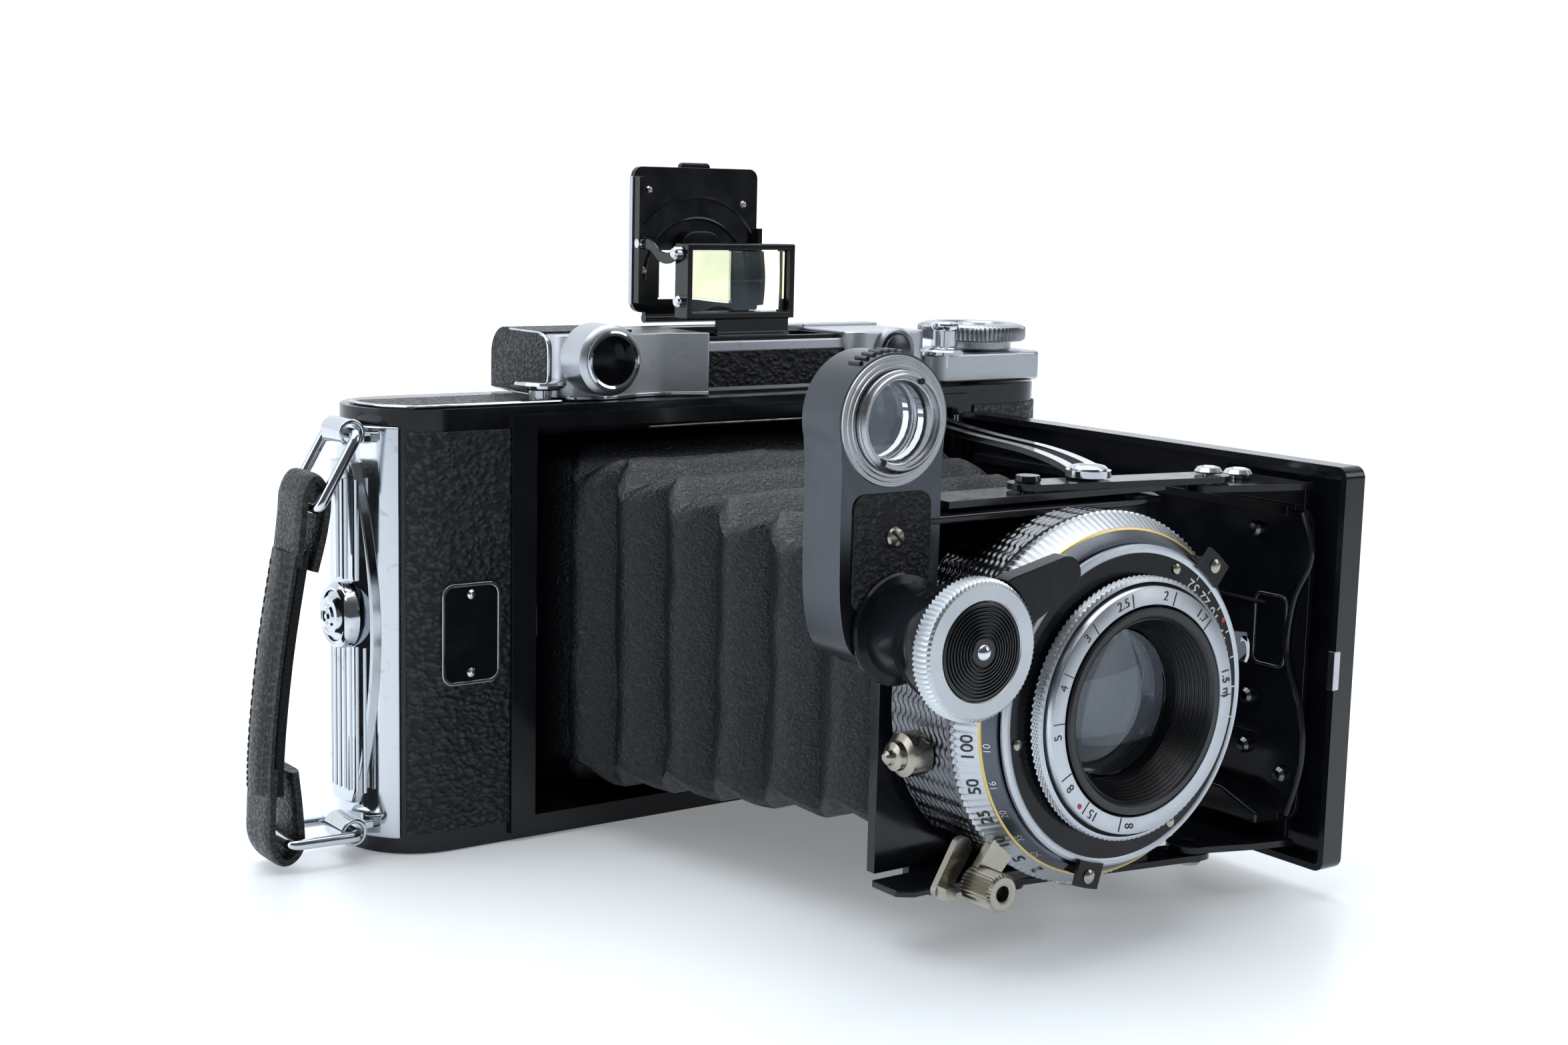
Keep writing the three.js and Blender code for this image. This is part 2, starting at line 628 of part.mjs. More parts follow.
const doorSheet = plateX(
  roundedBox([DOOR_END_Y, doorLow], [DOOR_NEAR_Y, doorHigh], 2),
  DOOR_INNER_X,
  DOOR_OUTER_X - 0.6,
);
const doorHollow = plateX(
  roundedBox([DOOR_END_Y + 1.2, doorLow + 1.2], [DOOR_NEAR_Y - 1.2, doorHigh - 1.2], 1),
  DOOR_INNER_X - 1,
  DOOR_OUTER_X - 2,
);
const DOOR_KNUCKLES = [[8, 22], [58.8, 72.8]];
const doorKnuckles = DOOR_KNUCKLES.map((span) => join(
  turnedZ(bar(1.3, ...span), DOOR_HINGE, SMALL_ROUND),
  block([50.2, 51.8], [DOOR_NEAR_Y - 1.5, FRAME_Y - 0.4], span),
));
const doorBore = turnedZ(bar(0.85, 0, BODY_HEIGHT), DOOR_HINGE, SMALL_ROUND);
add(bedDoor, 'bed_door_shell', 'enamel', cut(join(cut(doorSheet, doorHollow), ...doorKnuckles), doorBore));
// The pressed inner plate carries a bracket arm at its top and at its bottom.
function doorBracket(side) {
  const z = side > 0 ? [BRACKET_Z, BRACKET_Z + BRACKET_THICK]
    : [2 * LENS_Z - BRACKET_Z - BRACKET_THICK, 2 * LENS_Z - BRACKET_Z];
  const [x, y] = DOOR_PIVOT;
  const outline = new THREE.Shape();
  outline.moveTo(48.2, y - 9);
  outline.lineTo(48.2, y + 16);
  outline.lineTo(40, y + 12);
  outline.lineTo(x, y + 4);
  outline.absarc(x, y, 4, Math.PI / 2, Math.PI * 1.5, false);
  outline.lineTo(40, y - 7);
  return plateZ(outline, ...z, 6);
}

const INNER_PLATE_X = 47.2;
const innerPlate = join(
  plateX(roundedBox([-116, 12.4], [-26, 68.4], 4), INNER_PLATE_X, INNER_PLATE_X + 1),
  block([INNER_PLATE_X, INNER_PLATE_X + 1], [-114, -88], [8, 72.6]),
  block([INNER_PLATE_X - 2.2, INNER_PLATE_X + 1], [-112, -30], [66.8, 68.4]),
  block([INNER_PLATE_X - 2.2, INNER_PLATE_X + 1], [-112, -30], [12.4, 14]),
  doorBracket(1),
  doorBracket(-1),
);
const pivotBores = turnedZ(bar(1.3, -1, BODY_HEIGHT), DOOR_PIVOT, 16);
add(bedDoor, 'bed_inner_plate', 'enamel', cut(innerPlate, pivotBores));

add(body, 'bed_hinge_pin', 'chrome', turnedZ(bar(0.6, 6, 74.8), DOOR_HINGE, SMALL_ROUND));

// ---- Links from the bed to the lens standard ----

const mirrored = ([low, high]) => [2 * LENS_Z - high, 2 * LENS_Z - low];

function pivotScrew([x, y], low, headLow, headHigh, shank = 1, head = 2.3) {
  return turnedZ([
    [0, low],
    [shank, low],
    [shank, headLow],
    [head, headLow],
    [head - 0.3, headHigh],
    [0, headHigh],
  ], [x, y], SMALL_ROUND);
}

function mirrorZ(solid) {
  const geometry = toGeometry(solid);
  geometry.scale(1, 1, -1);
  geometry.translate(0, 0, 2 * LENS_Z);
  return toSolid(geometry);
}

const links = addGroup('bed_links');
const linkBores = [DOOR_PIVOT, STANDARD_PIVOT].map((place) => turnedZ(bar(1.3, -1, BODY_HEIGHT), place, 16));
const linkPlate = cut(
  plateZ(belt(DOOR_PIVOT, 3.6, STANDARD_PIVOT, 3.4), LINK_Z, LINK_Z + LINK_THICK, 8),
  ...linkBores,
);
add(links, 'upper_link', 'enamel', linkPlate);
add(links, 'lower_link', 'enamel', mirrorZ(linkPlate));

const doorScrew = pivotScrew(DOOR_PIVOT, BRACKET_Z, LINK_Z + LINK_THICK + GAP, LINK_Z + LINK_THICK + 1.4);
add(bedDoor, 'upper_bed_pivot_screw', 'chrome', doorScrew);
add(bedDoor, 'lower_bed_pivot_screw', 'chrome', mirrorZ(doorScrew));

// ---- Curved slotted struts from the body to the standard ----

const struts = addGroup('struts');

function strutPlate() {
  const line = new THREE.CatmullRomCurve3([
    [...STRUT_PIVOT, 0],
    [35, -32, 0],
    [28, -52, 0],
    [23, -72, 0],
    [16, -88, 0],
    [...STRUT_PIN, 0],
  ].map((point) => new THREE.Vector3(...point)));
  const band = (from, to, halfWidth, steps) => {
    const left = [];
    const right = [];
    for (let i = 0; i <= steps; i += 1) {
      const t = from + (to - from) * i / steps;
      const point = line.getPointAt(t);
      const way = line.getTangentAt(t);
      left.push(new THREE.Vector2(point.x - way.y * halfWidth, point.y + way.x * halfWidth));
      right.push(new THREE.Vector2(point.x + way.y * halfWidth, point.y - way.x * halfWidth));
    }
    return new THREE.Shape([...left, ...right.reverse()]);
  };
  const eye = (place, radius) => turnedZ(bar(radius, STRUT_Z, STRUT_Z + STRUT_THICK), place, SMALL_ROUND);
  const bore = (place, radius) => turnedZ(bar(radius, 0, BODY_HEIGHT), place, 16);
  return cut(
    join(
      plateZ(band(0, 1, 3.1, 14), STRUT_Z, STRUT_Z + STRUT_THICK),
      eye(STRUT_PIVOT, 3.1),
      eye(STRUT_PIN, 3.8),
    ),
    plateZ(band(0.09, 0.9, 1.2, 12), STRUT_Z - 1, STRUT_Z + 2),
    bore(STRUT_PIVOT, 1.5),
  );
}
const strutRivet = turnedZ([
  [0, STRUT_Z + 0.2],
  [2, STRUT_Z + 0.2],
  [2, STRUT_Z + STRUT_THICK + 0.2],
  [3.2, STRUT_Z + STRUT_THICK + 0.2],
  [2.8, STRUT_Z + STRUT_THICK + 0.9],
  [0, STRUT_Z + STRUT_THICK + 0.9],
], STRUT_PIN, SMALL_ROUND);
const upperStrut = join(strutPlate(), strutRivet);
add(struts, 'upper_strut', 'chrome', upperStrut);
add(struts, 'lower_strut', 'chrome', mirrorZ(upperStrut));

// ---- Lens standard ----

const standard = addGroup('lens_standard');
const LENS = [0, LENS_Z];

const standardPlate = join(
  block([-31, 27], [-96.4, -94.4], [LENS_Z - 29, LENS_Z + 29]),
  block([-24, 24], [-103.6, -94.4], [BRACKET_Z, BRACKET_Z + BRACKET_THICK]),
  block([-24, 24], [-103.6, -94.4], mirrored([BRACKET_Z, BRACKET_Z + BRACKET_THICK])),
  block([-23.6, 23.6], [-96.2, -94.6], [LENS_Z - 31.6, LENS_Z + 31.6]),
);
const rivetHead = [LINK_Z + LINK_THICK + GAP, LINK_Z + LINK_THICK + 1.2];
const standardRivet = pivotScrew(STANDARD_PIVOT, BRACKET_Z + 0.2, ...rivetHead);
add(standard, 'lens_standard_plate', 'enamel', join(
  cut(standardPlate, turnedY(bar(17, -100, -90), LENS)),
  standardRivet,
  mirrorZ(standardRivet),
));

const shutterCase = turnedY([
  [SHUTTER_RADIUS, SHUTTER_BACK_Y],
  [17.4, SHUTTER_BACK_Y],
  [17.4, SPEED_Y + 2.2],
  [23, SPEED_Y + 2.2],
  [23, SPEED_Y + 0.4],
  [SHUTTER_RADIUS, SPEED_Y + 0.4],
], LENS, SHUTTER_ROUND);
const flashPost = turnedX([
  [0, -36.6],
  [1.3, -36.6],
  [1.3, -35.4],
  [2.4, -35],
  [2.4, -33.6],
  [3.6, -33],
  [3.6, -27.9],
  [0, -27.9],
], [-105, 33.4], SMALL_ROUND);
add(standard, 'shutter_housing', 'black', join(shutterCase, flashPost));

add(standard, 'rear_lens_barrel', 'black', turnedY([
  [16.6, SHUTTER_BACK_Y - 7],
  [16.6, -91],
  [14.8, -88],
  [12.8, -88],
  [12.8, -93],
  [14.6, -93],
  [14.6, SHUTTER_BACK_Y - 7],
], LENS));
add(standard, 'rear_lens', 'glass', turnedY([[0, -97.4], [12.4, -96.6], [12.4, -93.6], [0, -91.8]], LENS));
add(standard, 'aperture_blades', 'blades', turnedY(tube(16.2, 8.6, -107.6, -106.9), LENS));
add(standard, 'middle_lens', 'glass', turnedY([[0, -112.4], [11.6, -113.2], [11.6, -110.8], [0, -111.6]], LENS));

// The black front plate with its bright rim stands on a hub that holds the focusing cell.
add(standard, 'shutter_face_plate', 'black', turnedY([
  [FACE_RADIUS, FACE_BACK_Y],
  [FACE_RADIUS, FACE_Y + 0.3],
  [FACE_RADIUS - 0.4, FACE_Y],
  [18.9, FACE_Y],
  [18.9, SPEED_Y - 0.6],
  [22.7, SPEED_Y - 0.6],
  [22.7, FACE_BACK_Y],
], LENS, SHUTTER_ROUND));

const SOCKET = [-24.6, 13.6];
add(standard, 'cable_release_socket', 'satin', cut(
  join(
    turnedY(bar(3.1, -120.4, -113), SOCKET, SMALL_ROUND),
    plateY(belt(SOCKET, 2, [-20.4, 19], 2), -115, -113),
  ),
  turnedY(bar(1.2, -121, -114), SOCKET, SMALL_ROUND),
  turnedY(bar(30.8, -130, -100), LENS, SHUTTER_ROUND),
));
const speed = addGroup('speed_setting');
add(speed, 'speed_ring', 'satin', turnedY([
  [30.5, SPEED_Y],
  [30.5, SPEED_Y - 1],
  [26.9, FACE_BACK_Y + 0.3],
  [23.2, FACE_BACK_Y + 0.3],
  [23.2, SPEED_Y],
], LENS, SHUTTER_ROUND));

const cocking = addGroup('cocking');
const COCK_ANGLE = 0.16;
add(cocking, 'cocking_lever', 'chrome', (() => {
  const outline = new THREE.Shape();
  outline.absarc(0, LENS_Z, 35.2, COCK_ANGLE - 0.05, COCK_ANGLE + 0.05, false);
  outline.absarc(0, LENS_Z, 31.2, COCK_ANGLE + 0.1, COCK_ANGLE - 0.1, true);
  const arm = plateY(outline, -114, -111.6);
  const ring = turnedY(tube(31.4, 30.8, -112.6, -111.8), LENS, SHUTTER_ROUND);
  const sector = block([28, 40], [-113, -111], [40.4, 52.4]);
  return join(arm, ring.intersect(sector));
})());

const ejector = addGroup('shutter_release');
add(ejector, 'shutter_release_lever', 'satin', join(
  plateY(belt([-25.4, 18.8], 1.8, [-29.4, 12.6], 1.5), -111.6, -110.4),
  block([-30.6, -28.4], [-113.8, -110.4], [11.6, 13.6]),
));

// ---- Focusing cell ----

const focus = addGroup('focusing');
add(focus, 'distance_ring', 'chrome', turnedY([
  [RING_RADIUS, FACE_Y - 0.4],
  [RING_RADIUS, -123],
  [20.1, -123.4],
  [19.6, -124.5],
  [16.9, -124.5],
  [16.9, FACE_Y - 0.4],
], LENS, SHUTTER_ROUND));
add(focus, 'front_lens_cell', 'black', turnedY([
  [16.6, -124.9],
  [16.6, FACE_Y - 0.4],
  [18.5, FACE_Y - 0.4],
  [18.5, -116.6],
  [12.4, -116.6],
  [12.4, -119.2],
  [15.8, -124.9],
], LENS, SHUTTER_ROUND));
add(focus, 'front_lens', 'glass', turnedY([[0, -119.4], [11.9, -118.4], [11.9, -117], [0, -117]], LENS));

const wheel = addGroup('focus_wheel');
add(wheel, 'focus_wheel_rim', 'chrome', turnedY([
  [WHEEL_RADIUS, -122.6],
  [WHEEL_RADIUS, WHEEL_Y + 0.5],
  [WHEEL_RADIUS - 0.5, WHEEL_Y],
  [7.6, WHEEL_Y],
  [7.6, -124.6],
  [3, -124.6],
  [3, -122.6],
], BARREL));
add(wheel, 'focus_wheel_disc', 'black', turnedY([
  [0, -127.2],
  [1.4, -127],
  [2.2, -126.2],
  [7.3, -125.8],
  [7.3, -124.9],
  [0, -124.9],
], BARREL, 24));

// ---- Barrel and gear bridge beside the shutter ----

add(standard, 'focus_barrel', 'black', turnedY([
  [0, -122],
  [9.2, -122.3],
  [9.6, -121.4],
  [9.2, -118],
  [7.3, -113.8],
  [7.3, -106.4],
  [3.4, -106.4],
  [3.4, -94.9],
  [0, -94.9],
], BARREL));

add(standard, 'gear_bridge', 'black', cut(
  plateY(belt([-27.5, 60], 4.4, [-17.8, 63.6], 3), FACE_Y - 3.6, FACE_Y - 0.4, 8),
  turnedY(bar(10.2, -130, -100), BARREL),
  turnedY(bar(RING_RADIUS + 0.5, -130, -100), LENS, SHUTTER_ROUND),
  turnedY(bar(WHEEL_RADIUS + 0.5, -130, -122), BARREL),
));

// ---- Swinging arm with the two turning wedges ----

const arm = addGroup('wedge_arm');
const armOutline = () => belt([WEDGE[0], WEDGE[1]], 10.4, [-36.2, 60], 8.2);
const armFoot = belt([-36.2, 60], 8.2, BARREL, 7.2);
add(arm, 'wedge_arm_housing', 'satin', cut(
  join(
    plateY(armOutline(), ARM_FRONT_Y, ARM_BACK_Y, 16),
    plateY(armFoot, ARM_FRONT_Y, ARM_BACK_Y, 12),
  ),
  turnedY(bar(3.8, -110, -90), BARREL, SMALL_ROUND),
  turnedY(bar(8.2, -110, -90), WEDGE, 24),
  block([-43.9, -30.5], [-110, ARM_FRONT_Y + 0.8], [61.5, 74.6]),
));
const wedgeMounts = [
  ['front_wedge', -108.4, -102.4, 1],
  ['rear_wedge', -102, -97.2, -1],
];
const wedgeGroups = wedgeMounts.map(([name]) => addGroup(`${name}_cell`, arm));
wedgeMounts.forEach(([name, front, rear, tilt], i) => {
  add(wedgeGroups[i], `${name}_mount`, 'satin', turnedY([
    [7.9, rear],
    [7.9, front + 1],
    [7.4, front],
    [6.3, front],
    [6.3, rear],
  ], WEDGE, 24));
  const glass = turnedY(bar(6, front + 1.6, rear - 0.5), WEDGE, 24);
  const slope = new THREE.BoxGeometry(20, 4, 20);
  slope.rotateZ(tilt * 0.08);
  slope.translate(WEDGE[0], front + 1.6 - 1.4, WEDGE[1]);
  add(wedgeGroups[i], name, 'glass', cut(glass, toSolid(slope)));
});

export default camera;
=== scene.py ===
"""Looks of the folding camera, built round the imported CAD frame.

Shapes are written in millimetres, in the frame's axes: +X right, +Y towards the film back, +Z up.
They turn into metres where a mesh is made.
"""

import math

import bmesh
import bpy
from mathutils import Matrix, Vector, noise


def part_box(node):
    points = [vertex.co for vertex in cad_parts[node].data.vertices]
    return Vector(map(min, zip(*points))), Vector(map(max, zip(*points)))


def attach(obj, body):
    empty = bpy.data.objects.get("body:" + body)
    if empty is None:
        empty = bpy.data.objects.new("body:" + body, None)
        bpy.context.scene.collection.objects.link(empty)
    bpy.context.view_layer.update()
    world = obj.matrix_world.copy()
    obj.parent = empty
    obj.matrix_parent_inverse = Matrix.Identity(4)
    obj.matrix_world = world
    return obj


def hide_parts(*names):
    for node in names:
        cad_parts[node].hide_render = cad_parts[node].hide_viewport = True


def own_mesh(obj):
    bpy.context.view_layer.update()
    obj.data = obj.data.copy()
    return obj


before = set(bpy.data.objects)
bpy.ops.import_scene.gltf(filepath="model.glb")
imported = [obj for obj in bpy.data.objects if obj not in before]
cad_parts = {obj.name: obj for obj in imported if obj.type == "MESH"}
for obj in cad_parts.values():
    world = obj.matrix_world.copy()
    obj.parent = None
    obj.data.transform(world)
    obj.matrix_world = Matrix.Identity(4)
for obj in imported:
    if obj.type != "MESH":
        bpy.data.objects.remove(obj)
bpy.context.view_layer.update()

MM = 0.001


def box(node):
    """Lowest and highest corner of a CAD node, in millimetres."""
    low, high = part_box(node)
    return low / MM, high / MM


def middle(node):
    low, high = box(node)
    return (low + high) / 2


# ---- Driving dimensions, taken from the frame ----

BODY_LOW, BODY_HIGH = box("body_shell")
BODY_TOP = BODY_HIGH.z
LENS_X = middle("distance_ring").x
LENS_Z = middle("distance_ring").z
LENS = (LENS_X, LENS_Z)
SPOOL_X = middle("takeup_spool").x
MID_Y = middle("takeup_spool").y
END_RADIUS = 13.5
FRONT_Y = MID_Y - END_RADIUS
STEP_Y = box("back_cover")[1].y
FRAME_Y = BODY_LOW.y
FRAME_X = 53.9
FACE_Y = box("shutter_face_plate")[0].y
SHUTTER_BACK_Y = box("shutter_housing")[1].y
SPEED_Y = box("speed_ring")[1].y
BARREL = (middle("focus_barrel").x, middle("focus_barrel").z)
WEDGE = (middle("front_wedge_mount").x, middle("front_wedge_mount").z)
KNOB = (middle("winding_knob").x, middle("winding_knob").y)
FINDER_X = middle("finder_rear_panel").x
DOOR_LOW, DOOR_HIGH = box("bed_door_shell")
HOUSING_LOW, HOUSING_HIGH = box("top_housing")
PLATFORM_LOW, PLATFORM_HIGH = box("winding_platform")


# ---- Materials ----


class Finish:
    """A node material with one principled shader, built step by step."""

    def __init__(self, name, color, rough, metal=0.0):
        self.material = bpy.data.materials.new(name)
        self.material.use_nodes = True
        self.tree = self.material.node_tree
        self.shader = self.tree.nodes["Principled BSDF"]
        self.color = (*color, 1.0)
        self.set("Base Color", self.color)
        self.set("Roughness", rough)
        self.set("Metallic", metal)
        self.normal = None
        coordinates = self.tree.nodes.new("ShaderNodeTexCoord")
        self.place = coordinates.outputs["Object"]

    def set(self, socket, value):
        self.shader.inputs[socket].default_value = value
        return self

    def node(self, kind, **inputs):
        made = self.tree.nodes.new(kind)
        for key, value in inputs.items():
            socket = made.inputs[key.replace("_", " ")]
            if isinstance(value, bpy.types.NodeSocket):
                self.tree.links.new(value, socket)
            else:
                socket.default_value = value
        return made

    def stretched(self, x=1.0, y=1.0, z=1.0):
        mapping = self.node("ShaderNodeMapping", Vector=self.place)
        mapping.inputs["Scale"].default_value = (x, y, z)
        return mapping.outputs["Vector"]

    def cloud(self, size, detail=4.0, place=None, distortion=0.0):
        """Noise whose lumps are about size millimetres."""
        texture = self.node("ShaderNodeTexNoise", Vector=place or self.place, Scale=1 / (size * MM),
                            Detail=detail, Distortion=distortion)
        return texture.outputs["Fac"]

    def cells(self, size, place=None, feature="SMOOTH_F1"):
        """Rounded cells about size millimetres across."""
        texture = self.node("ShaderNodeTexVoronoi", Vector=place or self.place, Scale=1 / (size * MM))
        texture.feature = feature
        return texture.outputs["Distance"]

    def spread(self, source, low, high, out_low, out_high):
        """Maps source from low..high to out_low..out_high."""
        ramp = self.node("ShaderNodeMapRange", Value=source)
        for key, value in (("From Min", low), ("From Max", high), ("To Min", out_low), ("To Max", out_high)):
            ramp.inputs[key].default_value = value
        return ramp.outputs["Result"]

    def total(self, first, second, share=1.0):
        scaled = self.node("ShaderNodeMath")
        scaled.operation = "MULTIPLY_ADD"
        self.tree.links.new(second, scaled.inputs[0])
        scaled.inputs[1].default_value = share
        self.tree.links.new(first, scaled.inputs[2])
        return scaled.outputs["Value"]

    def tint(self, source, low, high, other):
        """Colours the surface from its own colour to other, as source goes from low to high."""
        mix = self.tree.nodes.new("ShaderNodeMix")
        mix.data_type = "RGBA"
        mix.inputs["A"].default_value = self.color
        mix.inputs["B"].default_value = (*other, 1.0)
        self.tree.links.new(self.spread(source, low, high, 0.0, 1.0), mix.inputs["Factor"])
        self.tree.links.new(mix.outputs["Result"], self.shader.inputs["Base Color"])
        return self

    def polish(self, source, low, high, rough_low, rough_high):
        """Varies the roughness with source."""
        result = self.spread(source, low, high, rough_low, rough_high)
        self.tree.links.new(result, self.shader.inputs["Roughness"])
        return self

    def relief(self, source, depth, strength=1.0):
        """Bumps the surface by source, depth millimetres deep."""
        bump = self.node("ShaderNodeBump", Height=source, Distance=depth * MM, Strength=strength)
        if self.normal:
            self.tree.links.new(self.normal, bump.inputs["Normal"])
        self.normal = bump.outputs["Normal"]
        self.tree.links.new(self.normal, self.shader.inputs["Normal"])
        return self


def enamel(name, color=(0.006, 0.007, 0.01), shine=0.4):
    """Baked gloss enamel: a slight orange peel, hairlines and a thin film of dust."""
    made = Finish(name, color, 0.14)
    made.tint(made.cloud(9, 6), 0.5, 0.8, (0.012, 0.014, 0.018))
    made.polish(made.cloud(5, 8, distortion=0.6), 0.35, 0.75, 0.1, 0.22)
    made.relief(made.cloud(2.5, 2), 0.006, 0.3)
    made.set("Specular IOR Level", shine)
    return made.material


def leather(name, pebble, depth, dark, light, rough=0.42, stretch=(1.0, 1.0, 1.35)):
    """Embossed leathercloth: rounded pebbles with a finer grain; painted highlight on their tops, painted
    shade between them.
    """
    made = Finish(name, dark, rough)
    wander = made.node("ShaderNodeTexNoise", Vector=made.place, Scale=1 / (2.4 * pebble * MM), Detail=3.0)
    mix = made.tree.nodes.new("ShaderNodeMix")
    mix.data_type = "VECTOR"
    mix.inputs["Factor"].default_value = 0.0022
    made.tree.links.new(made.stretched(*stretch), mix.inputs["A"])
    made.tree.links.new(wander.outputs["Color"], mix.inputs["B"])
    place = mix.outputs["Result"]
    pebbles = made.spread(made.cells(pebble, place), 0.1, 0.62, 1.0, 0.0)
    grain = made.cloud(pebble * 0.28, 5, place)
    heights = made.total(pebbles, grain, 0.4)
    # Painted highlight: pebble tops are tinted towards the light colour, and the gaps between them stay dark
    # as painted shade.
    made.tint(heights, 0.45, 1.15, light)
    made.polish(heights, 0.3, 1.1, rough + 0.2, rough - 0.06)
    made.relief(heights, depth, 1.0)
    made.set("Specular IOR Level", 0.4)
    return made.material


def bright(name, color, rough, grain=0.0, smudge=0.08, dirt=(0.32, 0.31, 0.3)):
    """Plated or polished metal with faint smudges, and a blasted grain where it is satin."""
    made = Finish(name, color, rough, 1.0)
    made.tint(made.cloud(3.2, 8, distortion=0.8), 0.62, 0.86, dirt)
    made.polish(made.cloud(7, 7, distortion=1.2), 0.35, 0.75, rough, rough + smudge)
    if grain:
        made.relief(made.cloud(0.12, 3), grain, 0.6)
    return made.material


def turned(name, color, rough, centre, spacing=0.16, depth=0.012, metal=1.0):
    """Metal with the fine rings that a lathe leaves about an axis along Y."""
    made = Finish(name, color, rough, metal)
    shift = made.node("ShaderNodeMapping", Vector=made.place)
    shift.inputs["Location"].default_value = (-centre[0] * MM, 0.0, -centre[1] * MM)
    shift.inputs["Scale"].default_value = (1.0, 0.0, 1.0)
    length = made.node("ShaderNodeVectorMath")
    length.operation = "LENGTH"
    made.tree.links.new(shift.outputs["Vector"], length.inputs[0])
    rings = made.node("ShaderNodeMath")
    rings.operation = "SINE"
    turns = made.node("ShaderNodeMath")
    turns.operation = "MULTIPLY"
    made.tree.links.new(length.outputs["Value"], turns.inputs[0])
    turns.inputs[1].default_value = math.tau / (spacing * MM)
    made.tree.links.new(turns.outputs["Value"], rings.inputs[0])
    made.relief(rings.outputs["Value"], depth, 0.5)
    made.polish(made.cloud(3, 6, distortion=0.8), 0.3, 0.75, rough, rough + 0.12)
    return made.material


def clear_glass(name, color=(0.97, 0.985, 1.0), rough=0.0, tint=(0.75, 0.85, 1.0)):
    """Optical glass with a trace of dust and a cool reflection."""
    made = Finish(name, color, rough)
    made.set("Transmission Weight", 1.0).set("IOR", 1.52)
    made.set("Specular Tint", (*tint, 1.0))
    made.polish(made.cloud(2.5, 8), 0.55, 0.85, rough, rough + 0.05)
    return made.material


def ink(name, color, rough=0.5):
    """Paint filled into engraved figures."""
    made = Finish(name, color, rough)
    made.tint(made.cloud(0.5, 3), 0.5, 0.9, tuple(channel * 0.8 for channel in color))
    return made.material


ENAMEL = enamel("gloss_enamel")
# In each leather the second colour is its painted highlight on the pebble tops.
COARSE_LEATHER = leather("coarse_leather", 1.15, 0.34, (0.002, 0.0025, 0.004), (0.03, 0.034, 0.043), 0.32)
FINE_LEATHER = leather("fine_leather", 0.75, 0.22, (0.005, 0.006, 0.008), (0.035, 0.038, 0.045), 0.38)
BELLOWS_LEATHER = leather("bellows_leather", 0.6, 0.1, (0.003, 0.004, 0.006), (0.011, 0.014, 0.02), 0.3)
STRAP_LEATHER = leather("strap_leather", 0.7, 0.13, (0.005, 0.006, 0.007), (0.034, 0.037, 0.04), 0.32)
SUEDE = leather("strap_suede", 0.3, 0.12, (0.005, 0.005, 0.006), (0.02, 0.02, 0.022), 0.85)
CHROME = bright("polished_chrome", (0.6, 0.63, 0.67), 0.07)
SATIN_CHROME = bright("satin_chrome", (0.5, 0.52, 0.56), 0.3, 0.02)
ARM_ALLOY = bright("arm_alloy", (0.085, 0.092, 0.105), 0.24, 0.01, 0.1, (0.06, 0.06, 0.07))
NICKEL = bright("worn_nickel", (0.36, 0.335, 0.285), 0.22)
STEEL = bright("bright_steel", (0.5, 0.51, 0.53), 0.25, 0.01)
BRASS = bright("brass", (0.62, 0.46, 0.2), 0.28, 0.01)
BLADES = bright("blackened_blades", (0.2, 0.21, 0.23), 0.3)
RING_ALLOY = turned("ring_alloy", (0.5, 0.53, 0.57), 0.28, LENS)
WHEEL_ALLOY = turned("wheel_alloy", (0.52, 0.55, 0.58), 0.28, BARREL)
CELL_BLACK = turned("cell_black", (0.008, 0.009, 0.011), 0.3, LENS, 0.3, 0.004, 0.0)
WHEEL_BLACK = turned("wheel_black", (0.008, 0.009, 0.011), 0.26, BARREL, 0.2, 0.003, 0.0)
ARM_RING = turned("arm_ring", (0.4, 0.41, 0.43), 0.22, WEDGE, 0.3, 0.008)
BLACK_PAINT = enamel("black_paint", (0.005, 0.006, 0.008), 0.2)
KNOB_ALLOY = bright("knob_alloy", (0.42, 0.44, 0.47), 0.25, 0.01)
DARK_STEEL = bright("dark_steel", (0.1, 0.11, 0.13), 0.24, 0.005, 0.1, (0.06, 0.06, 0.07))
BLACK_ALLOY = bright("black_alloy", (0.14, 0.145, 0.16), 0.2, 0.0, 0.12, (0.08, 0.08, 0.09))
# These two leathers also carry the painted highlight on their grain tops, in their second colour.
SOFT_BLACK = leather("matt_black", 0.2, 0.01, (0.008, 0.008, 0.009), (0.016, 0.017, 0.019), 0.6)
PAPER = leather("backing_paper", 1.4, 0.01, (0.012, 0.012, 0.013), (0.03, 0.03, 0.03), 0.7)
LENS_GLASS = clear_glass("lens_glass")
FINDER_GLASS = clear_glass("finder_glass", (0.88, 0.9, 0.74), 0.0, (0.7, 0.85, 1.0))
RUBY = clear_glass("ruby_glass", (0.5, 0.01, 0.02))
WHITE_INK = ink("white_ink", (0.82, 0.82, 0.78))
BLACK_INK = ink("black_ink", (0.02, 0.02, 0.022))
RED_INK = ink("red_ink", (0.5, 0.03, 0.03))
THREAD = ink("black_thread", (0.035, 0.035, 0.038), 0.7)


# ---- Mesh helpers ----

FINEST_EDGE = 0.05
BLOCK_FACES = [(0, 1, 3, 2), (4, 6, 7, 5), (0, 4, 5, 1), (2, 3, 7, 6), (0, 2, 6, 4), (1, 5, 7, 3)]


def piece(name, vertices, faces, material, body, replaces=(), bevel=0.0, sharp=32.0, slot=None):
    """A closed mesh that rides on a body. Vertices are in millimetres."""
    mesh = bpy.data.meshes.new(name)
    mesh.from_pydata([Vector(v) * MM for v in vertices], [], faces)
    return dress(bpy.data.objects.new(name, mesh), material, body, replaces, bevel, sharp)


